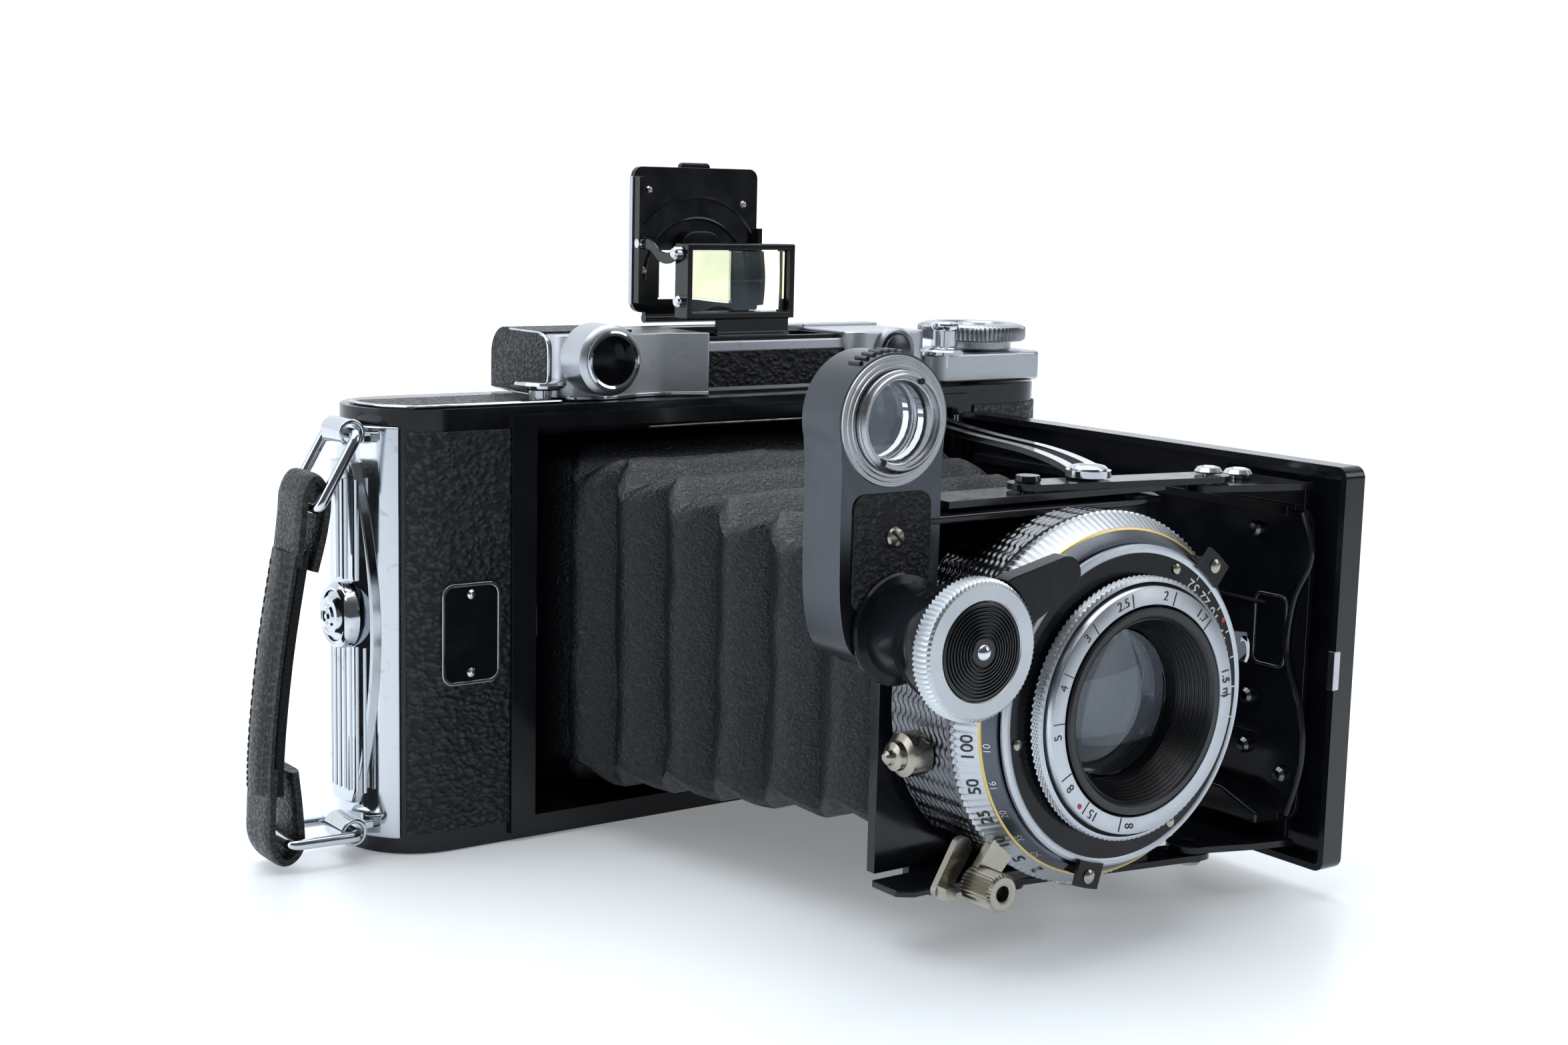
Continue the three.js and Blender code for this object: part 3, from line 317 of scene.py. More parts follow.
def dress(obj, material, body, replaces=(), bevel=0.0, sharp=32.0):
    """Links a mesh object, faces it outwards, smooths it, and gives it its material and body."""
    mesh = obj.data
    work = bmesh.new()
    work.from_mesh(mesh)
    bmesh.ops.remove_doubles(work, verts=work.verts, dist=0.0004 * MM)
    bmesh.ops.recalc_face_normals(work, faces=work.faces)
    work.to_mesh(mesh)
    work.free()
    mesh.shade_smooth()
    mesh.set_sharp_from_angle(angle=math.radians(sharp))
    mesh.materials.clear()
    mesh.materials.append(material)
    if obj.name not in bpy.context.scene.collection.objects:
        link(obj)
    if bevel:
        round_edges(obj, bevel)
    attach(obj, body)
    if replaces:
        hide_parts(*replaces)
    return obj


def round_edges(obj, width, segments=2, angle=40.0):
    edge = obj.modifiers.new("rounded_edges", "BEVEL")
    edge.width = width * MM
    edge.segments = segments
    edge.limit_method = "ANGLE"
    edge.angle_limit = math.radians(angle)
    edge.harden_normals = True
    edge.use_clamp_overlap = True


def lifted(axis, u, v, height):
    """A point at height along an axis and at u, v on the other two."""
    return {"x": (height, u, v), "y": (u, height, v), "z": (u, v, height)}[axis]


def along(axis, place, radius, height, angle):
    """A point at that radius and angle about a line through place, height along the axis."""
    u, v = place[0] + radius * math.cos(angle), place[1] + radius * math.sin(angle)
    return lifted(axis, u, v, height)


def clock(centre, radius, degrees):
    """X and Z of a point on a dial, its angle clockwise from the top, seen from the front."""
    turn = math.radians(degrees)
    return (centre[0] + radius * math.sin(turn), centre[1] + radius * math.cos(turn))


def round_point(centre, radius, degrees):
    """The same, with the angle anticlockwise from the right."""
    turn = math.radians(degrees)
    return (centre[0] + radius * math.cos(turn), centre[1] + radius * math.sin(turn))


def lathe_mesh(axis, place, profile, segments, relief=None):
    """Turns a closed profile of (radius, height) about an axis. relief(i, angle) adds to the radius."""
    vertices, faces, rings = [], [], []
    for i, (radius, height) in enumerate(profile):
        if radius < 1e-6:
            rings.append([len(vertices)])
            vertices.append(along(axis, place, 0.0, height, 0.0))
            continue
        rings.append(list(range(len(vertices), len(vertices) + segments)))
        for k in range(segments):
            angle = math.tau * k / segments
            extra = relief(i, angle) if relief else 0.0
            vertices.append(along(axis, place, radius + extra, height, angle))
    open_ended = len(rings[0]) == 1 and len(rings[-1]) == 1
    for i in range(len(rings) - (1 if open_ended else 0)):
        low, high = rings[i], rings[(i + 1) % len(rings)]
        for k in range(segments):
            following = (k + 1) % segments
            if len(low) == 1 and len(high) == 1:
                break
            if len(low) == 1:
                faces.append((low[0], high[k], high[following]))
            elif len(high) == 1:
                faces.append((low[k], high[0], low[following]))
            else:
                faces.append((low[k], high[k], high[following], low[following]))
    return vertices, faces


def raised(base, profile):
    """A profile whose heights are measured from base."""
    return [(radius, base + height) for radius, height in profile]


def lathe(name, axis, place, profile, material, body, segments=64, relief=None, **settings):
    vertices, faces = lathe_mesh(axis, place, profile, segments, relief)
    return piece(name, vertices, faces, material, body, **settings)


def knurl(rows, teeth, depth, slant=0.0):
    """Relief for a knurled band: rows maps a profile index to its share of the depth and its row number.

    slant shifts the teeth by that share of a tooth from one row to the next.
    """

    def relief(i, angle):
        if i not in rows:
            return 0.0
        phase = (angle * teeth / math.tau + slant * rows[i][1]) % 1.0
        return -depth * rows[i][0] * abs(2 * phase - 1)

    return relief


def arc(centre, radius, start, end, steps=12):
    """Points on an arc, angles in degrees anticlockwise from the first axis."""
    turn = [math.radians(start + (end - start) * i / steps) for i in range(steps + 1)]
    return [(centre[0] + radius * math.cos(t), centre[1] + radius * math.sin(t)) for t in turn]


def rounded(low, high, radius, steps=8):
    """A rectangle with round corners, anticlockwise."""
    (u0, v0), (u1, v1) = low, high
    radii = radius if isinstance(radius, (tuple, list)) else (radius,) * 4
    corners = [(u0, v0, 1, 1, 180), (u1, v0, -1, 1, 270), (u1, v1, -1, -1, 0), (u0, v1, 1, -1, 90)]
    outline = []
    for (u, v, du, dv, start), r in zip(corners, radii):
        outline += arc((u + du * r, v + dv * r), max(r, 0.01), start, start + 90, steps)
    return outline


def circle(centre, radius, steps=48):
    return arc(centre, radius, 0, 360, steps)[:-1]


def spline(points, steps=10):
    """A smooth line through points, by Catmull and Rom's rule."""
    padded = [points[0], *points, points[-1]]
    line = []
    for a, b, c, d in zip(padded, padded[1:], padded[2:], padded[3:]):
        for i in range(steps):
            t = i / steps
            weights = (
                -t / 2 + t**2 - t**3 / 2,
                1 - 2.5 * t**2 + 1.5 * t**3,
                t / 2 + 2 * t**2 - 1.5 * t**3,
                (t**3 - t**2) / 2,
            )
            line.append(tuple(
                sum(weight * value for weight, value in zip(weights, values))
                for values in zip(a, b, c, d)
            ))
    line.append(tuple(points[-1]))
    return line


def link(obj):
    bpy.context.scene.collection.objects.link(obj)


def curve_mesh(curve):
    """Vertices and faces of a filled curve, which is removed afterwards."""
    holder = bpy.data.objects.new("outline", curve)
    link(holder)
    mesh = bpy.data.meshes.new_from_object(holder)
    vertices = [tuple(v.co) for v in mesh.vertices]
    faces = [tuple(face.vertices) for face in mesh.polygons]
    bpy.data.objects.remove(holder)
    bpy.data.curves.remove(curve)
    bpy.data.meshes.remove(mesh)
    return vertices, faces


def plate_mesh(outlines, plane, low, high):
    """Vertices and faces of a flat plate with an outer outline and any holes."""
    curve = bpy.data.curves.new("outline", "CURVE")
    curve.dimensions = "2D"
    curve.fill_mode = "BOTH"
    curve.extrude = 0.5
    for outline in outlines:
        line = curve.splines.new("POLY")
        line.points.add(len(outline) - 1)
        for point, (u, v) in zip(line.points, outline):
            point.co = (u, v, 0, 1)
        line.use_cyclic_u = True
    flat, faces = curve_mesh(curve)
    return [lifted(plane, u, v, low + (high - low) * (w + 0.5)) for u, v, w in flat], faces


def plate(name, outlines, plane, low, high, material, body, bevel=0.25, **settings):
    """A flat plate between two heights, with rounded edges."""
    vertices, faces = plate_mesh(outlines, plane, low, high)
    made = piece(name, vertices, faces, material, body, **settings)
    dissolve = made.modifiers.new("one_face", "DECIMATE")
    dissolve.decimate_type = "DISSOLVE"
    dissolve.angle_limit = math.radians(0.5)
    if bevel:
        round_edges(made, bevel)
    return made


def merged(name, parts, material, body, **settings):
    """Joins (vertices, faces) pairs into one piece."""
    vertices, faces = [], []
    for more, their_faces in parts:
        start = len(vertices)
        vertices += more
        faces += [tuple(start + i for i in face) for face in their_faces]
    return piece(name, vertices, faces, material, body, **settings)


def tube_mesh(points, radius, sides=12, closed=False):
    """A round rod along points, in millimetres."""
    line = [Vector(p) for p in points]
    count = len(line)
    vertices, faces = [], []
    up = None
    for i, point in enumerate(line):
        before = line[i - 1] if (i or closed) else point
        after = line[(i + 1) % count] if (i + 1 < count or closed) else point
        way = (after - before).normalized()
        if up is None:
            up = way.orthogonal().normalized()
        up = (up - way * up.dot(way)).normalized()
        side = way.cross(up)
        for k in range(sides):
            turn = math.tau * k / sides
            vertices.append(tuple(point + radius * (math.cos(turn) * up + math.sin(turn) * side)))
    for i in range(count if closed else count - 1):
        a, b = i * sides, ((i + 1) % count) * sides
        for k in range(sides):
            n = (k + 1) % sides
            faces.append((a + k, a + n, b + n, b + k))
    if not closed:
        faces.append(tuple(range(sides))[::-1])
        faces.append(tuple(range((count - 1) * sides, count * sides)))
    return vertices, faces


def block_mesh(x, y, z):
    """A box between two values on each axis."""
    corners = [(i, j, k) for i in x for j in y for k in z]
    return corners, BLOCK_FACES


def slab_faces(rows, columns):
    """Faces of a closed slab whose two layers are grids of (rows + 1) by (columns + 1) points."""
    row = columns + 1
    layer = (rows + 1) * row
    faces = []
    for i in range(rows):
        for k in range(columns):
            a = i * row + k
            faces.append((a, a + 1, a + row + 1, a + row))
            faces.append((layer + a, layer + a + row, layer + a + row + 1, layer + a + 1))
    rim = list(range(row))
    rim += [i * row + columns for i in range(1, rows + 1)]
    rim += [rows * row + k for k in range(columns - 1, -1, -1)]
    rim += [i * row for i in range(rows - 1, 0, -1)]
    for a, b in zip(rim, rim[1:] + rim[:1]):
        faces.append((a, b, layer + b, layer + a))
    return faces


def keep(node, material, bevel=0.15):
    """Gives a CAD node its material, soft shading and small rounded edges."""
    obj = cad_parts[node]
    if "custom_normal" in obj.data.attributes:
        obj.data.attributes.remove(obj.data.attributes["custom_normal"])
    obj.data.materials.clear()
    obj.data.materials.append(material)
    obj.data.shade_smooth()
    weld = obj.modifiers.new("weld", "WELD")
    weld.merge_threshold = 0.002 * MM
    flat = obj.modifiers.new("one_face", "DECIMATE")
    flat.decimate_type = "DISSOLVE"
    flat.angle_limit = math.radians(1.0)
    round_edges(obj, max(bevel, FINEST_EDGE), 2, 28.0)
    return obj


# ---- Figures ----


def letters_mesh(text, size):
    """Flat outlines of a short text, centred, in millimetres."""
    curve = bpy.data.curves.new("figures", "FONT")
    curve.body = text
    curve.size = size
    curve.align_x = "CENTER"
    curve.align_y = "CENTER"
    curve.extrude = 0.5
    curve.resolution_u = 3
    return curve_mesh(curve)


def round_scale(name, marks, centre, track, size, material, body, reading=1):
    """Figures round a lens scale. track(v) gives (radius, y) at v millimetres above a figure's middle.

    marks are (text, angle) with the angle in degrees clockwise from the top, seen from the front.
    A reading of -1 turns the figures so that their tops point inwards.
    """
    thick = 0.06
    parts = []
    for text, degrees in marks:
        vertices, faces = letters_mesh(text, size)
        placed = []
        for u, v, depth in vertices:
            radius, y = track(v)
            turn = math.radians(degrees) + reading * u / radius
            x = centre[0] + radius * math.sin(turn)
            z = centre[1] + radius * math.cos(turn)
            placed.append((x, y - thick * (depth + 0.5), z))
        parts.append((placed, faces))
    return merged(name, parts, material, body, sharp=10.0)


def ticks_mesh(angles, centre, inner, outer, width, y, thick=0.06):
    """Short radial lines on a flat ring, at angles in degrees clockwise from the top."""
    parts = []
    for degrees in angles:
        turn = math.radians(degrees)
        out = (math.sin(turn), math.cos(turn))
        side = (out[1], -out[0])
        vertices = [
            (centre[0] + out[0] * r + side[0] * w, h, centre[1] + out[1] * r + side[1] * w)
            for r in (inner, outer)
            for w in (-width / 2, width / 2)
            for h in (y - thick, y)
        ]
        parts.append((vertices, BLOCK_FACES))
    return parts


# ---- Body skins ----


def end_line(side, straight_x, end_angle, offset, rear=False, steps=16):
    """The body's outline from a point on its flat side, round its end, offset outwards. Angles in degrees."""
    radius = END_RADIUS + offset
    sign = 1 if rear else -1
    line = [(side * straight_x, MID_Y + sign * radius)]
    for i in range(steps + 1):
        t = math.radians(end_angle) * i / steps
        line.append((side * (SPOOL_X + radius * math.sin(t)), MID_Y + sign * radius * math.cos(t)))
    return line


def wrap_mesh(inner, outer, low, high):
    """A sheet between two lines in plan, from one height to another."""
    count = len(inner)
    vertices = [(x, y, z) for line in (inner, outer) for x, y in line for z in (low, high)]

    def at(line, i, top):
        return line * count * 2 + i * 2 + top

    faces = []
    for i in range(count - 1):
        faces.append((at(0, i, 0), at(0, i + 1, 0), at(0, i + 1, 1), at(0, i, 1)))
        faces.append((at(1, i, 0), at(1, i, 1), at(1, i + 1, 1), at(1, i + 1, 0)))
        for top in (0, 1):
            faces.append((at(0, i, top), at(1, i, top), at(1, i + 1, top), at(0, i + 1, top)))
    for i in (0, count - 1):
        faces.append((at(0, i, 0), at(0, i, 1), at(1, i, 1), at(1, i, 0)))
    return vertices, faces


def body_skin(name, side, straight_x, end_angle, low, high, body, rear=False, thick=0.5):
    inner = end_line(side, straight_x, end_angle, 0.02, rear)
    outer = end_line(side, straight_x, end_angle, thick, rear)
    vertices, faces = wrap_mesh(inner, outer, low, high)
    return piece(name, vertices, faces, COARSE_LEATHER, body, bevel=0.2, slot="leather")


def make_skins():
    leather_low, leather_high = 3.7, 76.6
    body_skin("front_leather_left", -1, FRAME_X, 34, leather_low, leather_high, "camera_body")
    body_skin("front_leather_right", 1, FRAME_X + 1.5, 84, leather_low, leather_high, "camera_body")
    body_skin("back_leather_left", -1, 53.6, 76, leather_low, leather_high, "film_back", rear=True)
    body_skin("back_leather_right", 1, 53.6, 52, leather_low, leather_high, "film_back", rear=True)
    window_low, window_high = box("window_cover_slide")
    hole = rounded((window_low.x - 1, window_low.z - 1), (window_high.x + 15, window_high.z + 1), 2)
    plate("back_leather", [rounded((-51.5, 3.2), (51.5, BODY_TOP - 3.2), 3), hole[::-1]], "y",
          STEP_Y + 0.02, STEP_Y + 0.5, COARSE_LEATHER, "film_back", bevel=0.15, slot="leather")
    top_outline = [(-42, -14.2), (-42, 0.4), (-76.5, 0.4), *arc((-SPOOL_X, MID_Y), 10.6, 172, 216, 8),
                   (-71.5, -14.2)]
    plate("top_leather", [top_outline], "z", BODY_TOP + 0.02, BODY_TOP + 0.5, FINE_LEATHER, "camera_body",
          bevel=0.15, slot="leather")
    rim = [(x, y, BODY_TOP + 0.35) for x, y in [(-42, -14.6), (-71.8, -14.6), (-75.6, -9.8), (-77.2, -4),
                                                (-77, 0.3)]]
    vertices, faces = tube_mesh(rim, 0.3, 8)
    piece("top_leather_edge", vertices, faces, CHROME, "camera_body", slot="chrome")
    plate("bed_leather", [rounded((DOOR_LOW.y + 2.2, DOOR_LOW.z + 2.4), (-22.6, DOOR_HIGH.z - 2.4), 2.5)],
          "x", DOOR_HIGH.x + 0.02, DOOR_HIGH.x + 0.5, COARSE_LEATHER, "bed_door", bevel=0.15,
          slot="leather")


def make_badge():
    """A plain riveted name plate, left blank, on the left front leather."""
    y = FRONT_Y - 0.5
    outline = rounded((-68.1, 30.8), (-56.4, 49.3), 2.2)
    inner = rounded((-67.5, 31.4), (-57.0, 48.7), 1.8)
    plate("badge_rim", [outline, inner[::-1]], "y", y - 0.7, y, CHROME, "camera_body", bevel=0.12)
    plate("badge_field", [inner], "y", y - 0.45, y, BLACK_PAINT, "camera_body", bevel=0.08)
    for place, z in (("top", 47.2), ("bottom", 32.9)):
        profile = raised(y, [(0, -1.1), (0.5, -1.0), (0.9, -0.6), (0.9, -0.3), (0, -0.3)])
        lathe(f"badge_rivet_{place}", "y", (-62.2, z), profile, CHROME, "camera_body", 20)


def make_frame_trim():
    """The catch in the frame's left inner edge, and the bright rail above the opening."""
    vertices, faces = block_mesh((-48.95, -47.9), (FRAME_Y + 1.2, FRAME_Y + 3.0), (37.8, 43.6))
    piece("bed_catch_slot", vertices, faces, NICKEL, "camera_body", bevel=0.2)
    vertices, faces = tube_mesh([(-24, -16.2, 75.5), (-12, -16.2, 75.6), (14, -16.2, 75.6)], 0.36, 10)
    piece("opening_rail", vertices, faces, CHROME, "camera_body")


# ---- End plate, lugs and strap ----

END_X = -SPOOL_X
BOSS_LOW, BOSS_HIGH = 9.0, 71.0
LATCH = (-7, 43.5)
LUG_X = -82.8
LUG_MID_Y = -9.0
LOWER_LUG_Z, UPPER_LUG_Z = 4.9, 76.6
UPPER_BAR = (-90.2, 64.0)
LOWER_BAR = (-95.6, 5.2)
LOOP_HALF = 6.2


def end_surface(y, offset):
    """X of the body's left end at that depth, offset outwards."""
    radius = END_RADIUS + offset
    return END_X - math.sqrt(max(radius**2 - (y - MID_Y) ** 2, 0.0))


def make_end_plate():
    inner = []
    outer = []
    for i in range(25):
        t = math.radians(38 + (107 - 38) * i / 24)
        for line, offset in ((inner, 0.1), (outer, 0.95)):
            radius = END_RADIUS + offset
            line.append((END_X - radius * math.sin(t), MID_Y - radius * math.cos(t)))
    sheet = wrap_mesh(inner, outer, 3.0, 77.5)
    rows, columns = 28, 12
    vertices = []
    for layer_offset in (0.8, 2.5):
        for i in range(rows + 1):
            z = BOSS_LOW + (BOSS_HIGH - BOSS_LOW) * i / rows
            bulge = math.sin(math.pi * i / rows) ** 0.8
            front = -8.6 - 4.0 * bulge
            rear = -1.6 + 1.2 * bulge
            for k in range(columns + 1):
                y = front + (rear - front) * k / columns
                vertices.append((end_surface(y, layer_offset), y, z))
    boss = (vertices, slab_faces(rows, columns))
    lugs = []
    for z in (LOWER_LUG_Z, UPPER_LUG_Z):
        lugs.append(lathe_mesh("y", (LUG_X, z), [(2.5, -13), (2.5, -5), (1.7, -5), (1.7, -13)], 40))
        web_z = (z - 1.9, z - 0.3) if z > LENS_Z else (z + 0.3, z + 1.9)
        lugs.append(block_mesh((-80.9, -79.0), (-12.9, -5.1), web_z))
    merged("end_plate_chrome", [sheet, boss, *lugs], CHROME, "camera_body", replaces=["end_plate"],
           bevel=0.35, slot="chrome")
    ribs = []
    for i in range(7):
        y = -11.2 + i * 1.55
        line = [(end_surface(y, 2.5), y, z) for z in (11.5, 14, 20, 30, 36, 38)]
        ribs.append(tube_mesh(line, 0.42, 8))
    for i in range(3):
        y = -9.6 + i * 2.6
        line = [(end_surface(y, 2.45), y, z) for z in (50, 51, 56, 62, 67, 68)]
        ribs.append(tube_mesh(line, 0.62, 10))
    merged("end_plate_ribs", ribs, CHROME, "camera_body", slot="chrome")
    rings = [(0, -85.4), (0.5, -85.4), (0.8, -85.1), (1.2, -85.0), (1.5, -85.3), (1.9, -85.2), (2.2, -84.8)]
    rings += [(2.7, -84.7), (3.0, -84.9), (3.4, -84.8), (3.8, -84.2), (4.4, -83.8), (4.5, -83.5),
              (4.5, -83.2), (0, -83.2)]
    lathe("back_latch_rings", "x", LATCH, rings, CHROME, "back_latch", 48, replaces=["back_latch_button"],
          slot="chrome")
    seat = [(4.6, -84.0), (5.2, -84.2), (5.6, -83.9), (5.9, -83.2), (5.9, -81.5), (4.6, -81.5)]
    lathe("back_latch_seat", "x", LATCH, seat, CHROME, "camera_body", 48, slot="chrome")


def wire_loop(name, lug_z, outer, node):
    """A wire bent into a rounded rectangle through a lug and a strap end."""
    start, end = Vector((LUG_X, 0, lug_z)), Vector((outer[0], 0, outer[1]))
    way = (end - start).normalized()
    length = (end - start).length
    bend = 1.6
    corners = [(0, -LOOP_HALF), (length, -LOOP_HALF), (length, LOOP_HALF), (0, LOOP_HALF)]
    flat = []
    for (s, y), turn in zip(corners, (180, 270, 0, 90)):
        cs = s + (bend if s < 1 else -bend)
        cy = y + (bend if y < 0 else -bend)
        flat += arc((cs, cy), bend, turn, turn + 90, 6)
    points = [tuple(start + way * s + Vector((0, LUG_MID_Y + y, 0))) for s, y in flat]
    vertices, faces = tube_mesh(points, 0.98, 14, closed=True)
    piece(name, vertices, faces, CHROME, "carrying_strap", replaces=[node], slot="chrome")


def band_mesh(line, half_width, thick, crown=0.0):
    """A strap of leather along a line in X and Z, crowned across its width."""
    across = 12
    count = len(line)
    vertices, faces = [], []
    for i, (x, z) in enumerate(line):
        x0, z0 = line[max(i - 1, 0)]
        x1, z1 = line[min(i + 1, count - 1)]
        size = math.hypot(x1 - x0, z1 - z0)
        out = (-(z1 - z0) / size, (x1 - x0) / size)
        for side in (1, -1):
            for k in range(across + 1):
                w = -1 + 2 * k / across
                w = w if side > 0 else -w
                rim = 1 - abs(w) ** 6
                height = thick / 2 * (0.55 + 0.45 * rim)
                if side > 0:
                    height += crown * max(0.0, 1 - (w / 0.55) ** 4)
                vertices.append((x + out[0] * height * side, LUG_MID_Y + w * half_width,
                                 z + out[1] * height * side))
    ring = 2 * (across + 1)
    for i in range(count - 1):
        for k in range(ring):
            a, b = i * ring + k, i * ring + (k + 1) % ring
            faces.append((a, b, b + ring, a + ring))
    faces.append(tuple(range(ring))[::-1])
    faces.append(tuple(range((count - 1) * ring, count * ring)))
    return vertices, faces


def make_strap():
    wire_loop("upper_strap_loop", UPPER_LUG_Z, UPPER_BAR, "upper_strap_ring")
    wire_loop("lower_strap_loop", LOWER_LUG_Z, LOWER_BAR, "lower_strap_ring")
    grip = spline([(-91.2, 66), (-93.4, 56), (-96.0, 42), (-97.7, 28), (-98.4, 16), (-98.6, 8)], 8)
    inner = spline([(-88.4, 62), (-90.4, 50), (-92.6, 36), (-94.2, 22), (-94.6, 14), (-93.4, 8)], 8)
    top_loop = spline([(-93.4, 54), (-92.4, 62), (-91.9, 66.5), (-90.0, 69.2), (-88.0, 66.0), (-88.6, 60),
                       (-90.4, 53)], 8)
    low_loop = spline([(-98.2, 19), (-98.7, 10), (-98.6, 5), (-96.4, 1.9), (-93.6, 4.0), (-93.6, 10),
                       (-94.4, 18)], 8)
    merged("strap_band", [band_mesh(top_loop[::-1], 5.2, 2.0), band_mesh(low_loop[::-1], 5.2, 2.0)],
           STRAP_LEATHER, "carrying_strap", replaces=["strap"], sharp=50, slot="leather")
    middle_line = [((a[0] + b[0]) / 2 - 0.8, (a[1] + b[1]) / 2) for a, b in zip(grip, inner)]
    body_line = [p for p in middle_line if 13 < p[1] < 57]
    merged("strap_core", [band_mesh(body_line, 5.0, 2.6)], SUEDE, "carrying_strap", sharp=50, slot="leather")
    face_line = [(x - 1.5, z) for x, z in body_line]
    merged("strap_face", [band_mesh(face_line[::-1], 5.1, 1.2, 0.9)], STRAP_LEATHER, "carrying_strap",
           sharp=50)
    stitches = []
    for side in (-1, 1):
        for i in range(1, len(face_line) - 1):
            (x0, z0), (x1, z1) = face_line[i], face_line[i + 1]
            y = LUG_MID_Y + side * 3.4
            thread = [(x0 + (x1 - x0) * s - 1.0, y, z0 + (z1 - z0) * s) for s in (0.1, 0.35, 0.7)]
            stitches.append(tube_mesh(thread, 0.16, 6))
    merged("strap_stitches", stitches, THREAD, "carrying_strap")


# ---- Bellows ----

PLEATS = 6
PLEAT_FRONT_Y = -93.0
PLEAT_REAR_Y = -13.0
PLEAT_DEPTH = 5.2


def bellows_ring(y, inset_x, inset_z, chamfer, per_side=26):
    """A rectangle round the light path at depth y, its sides and top pulled in, its corners cut."""
    share = max(0.0, min(1.0, (y + 12) / -81.6))
    half_x = 42.2 - 11.6 * share - inset_x
    half_z = 31.6 - 9.8 * share - inset_z
    corners = [
        (half_x, -half_z + chamfer), (half_x, half_z - chamfer), (half_x - chamfer, half_z),
        (-half_x + chamfer, half_z), (-half_x, half_z - chamfer), (-half_x, -half_z + chamfer),
        (-half_x + chamfer, -half_z), (half_x - chamfer, -half_z),
    ]
    ring = []
    for i, (u, v) in enumerate(corners):
        u1, v1 = corners[(i + 1) % 8]
        steps = per_side if i % 2 == 0 else 3
        for k in range(steps):
            t = k / steps
            ring.append((LENS_X + u + (u1 - u) * t, y, LENS_Z + v + (v1 - v) * t))
    return ring


def fold(turn, power):
    """How far a pleat is folded in: 1 in the valley at turn 0, 0 at the ridge at turn one half."""
    return abs(2 * (turn % 1.0) - 1) ** power


def make_bellows():
    """Pleats that taper towards the lens. The top folds in where the sides fold out."""
    sections = [bellows_ring(-0.8, 0.0, 0.0, 1.2), bellows_ring(-5, 0.6, 0.4, 1.4),
                bellows_ring(-9, 1.6, 1.2, 1.6)]
    steps = 12
    spacing = (PLEAT_REAR_Y - PLEAT_FRONT_Y) / PLEATS
    for i in range(PLEATS * steps + 1):
        turn = i / steps
        depth = PLEAT_DEPTH * (1 - 0.05 * turn)
        inset_x = depth * fold(turn, 1.5) - 0.4
        inset_z = depth * 0.85 * fold(turn + 0.5, 1.25) - 0.3
        sections.append(bellows_ring(PLEAT_REAR_Y - turn * spacing, inset_x, inset_z, 1.5))
    sections.append(bellows_ring(PLEAT_FRONT_Y - 0.9, 0.3, 0.3, 1.2))
    count = len(sections[0])
    vertices = []
    for i, section in enumerate(sections):
        soft = 0.0 if i < 2 or i == len(sections) - 1 else 1.0
        for x, y, z in section:
            wrinkle = noise.noise(Vector((x / 9, y / 7, z / 9)))
            crease = noise.noise(Vector((x / 3.4 + 7, y / 2.2, z / 7)))
            push = soft * (0.5 * wrinkle + 0.22 * crease)
            out = Vector((x - LENS_X, 0, z - LENS_Z)).normalized()
            vertices.append((x + out.x * push, y + soft * 0.6 * wrinkle, z + out.z * push))
    faces = []
    for i in range(len(sections) - 1):
        for k in range(count):
            a, b = i * count + k, i * count + (k + 1) % count
            faces.append((a, b, b + count, a + count))
    made = piece("bellows_pleats", vertices, faces, BELLOWS_LEATHER, "camera_body", replaces=["bellows"],
                 sharp=55, slot="leather")
    shell = made.modifiers.new("thickness", "SOLIDIFY")
    shell.thickness = 0.5 * MM
    shell.offset = -1.0
    for modifier in list(made.modifiers):
        apply_modifier(made, modifier)
    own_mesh(made)


def apply_modifier(obj, modifier):
    bpy.context.view_layer.objects.active = obj
    with bpy.context.temp_override(object=obj, active_object=obj):
        bpy.ops.object.modifier_apply(modifier=modifier.name)


# ---- Top: rangefinder housing, finder, winding knob ----

RF_WINDOW = (-34.2, 88.4)
ADJUSTER = (37.4, 88.0)
HOUSING_BASE = HOUSING_LOW.z
HOUSING_TOP = 92.6
HOUSING_REAR = HOUSING_HIGH.y
HOUSING_FRONT = -9.4
REAR_ROUND = 5.0
HOUSING_CROWN = arc((HOUSING_REAR - REAR_ROUND, HOUSING_TOP - REAR_ROUND), REAR_ROUND, 90, 0, 10)


def folded_sheet(line, thick, low, high):
    """A sheet bent along a line in Y and Z, from one X to another."""
    count = len(line)
    outer = []
    for i, (y, z) in enumerate(line):
        y0, z0 = line[max(i - 1, 0)]
        y1, z1 = line[min(i + 1, count - 1)]
        size = math.hypot(y1 - y0, z1 - z0)
        outer.append((y - (z1 - z0) / size * thick, z + (y1 - y0) / size * thick))
    outline = outer + line[::-1]
    return plate_mesh([outline], "x", low, high)


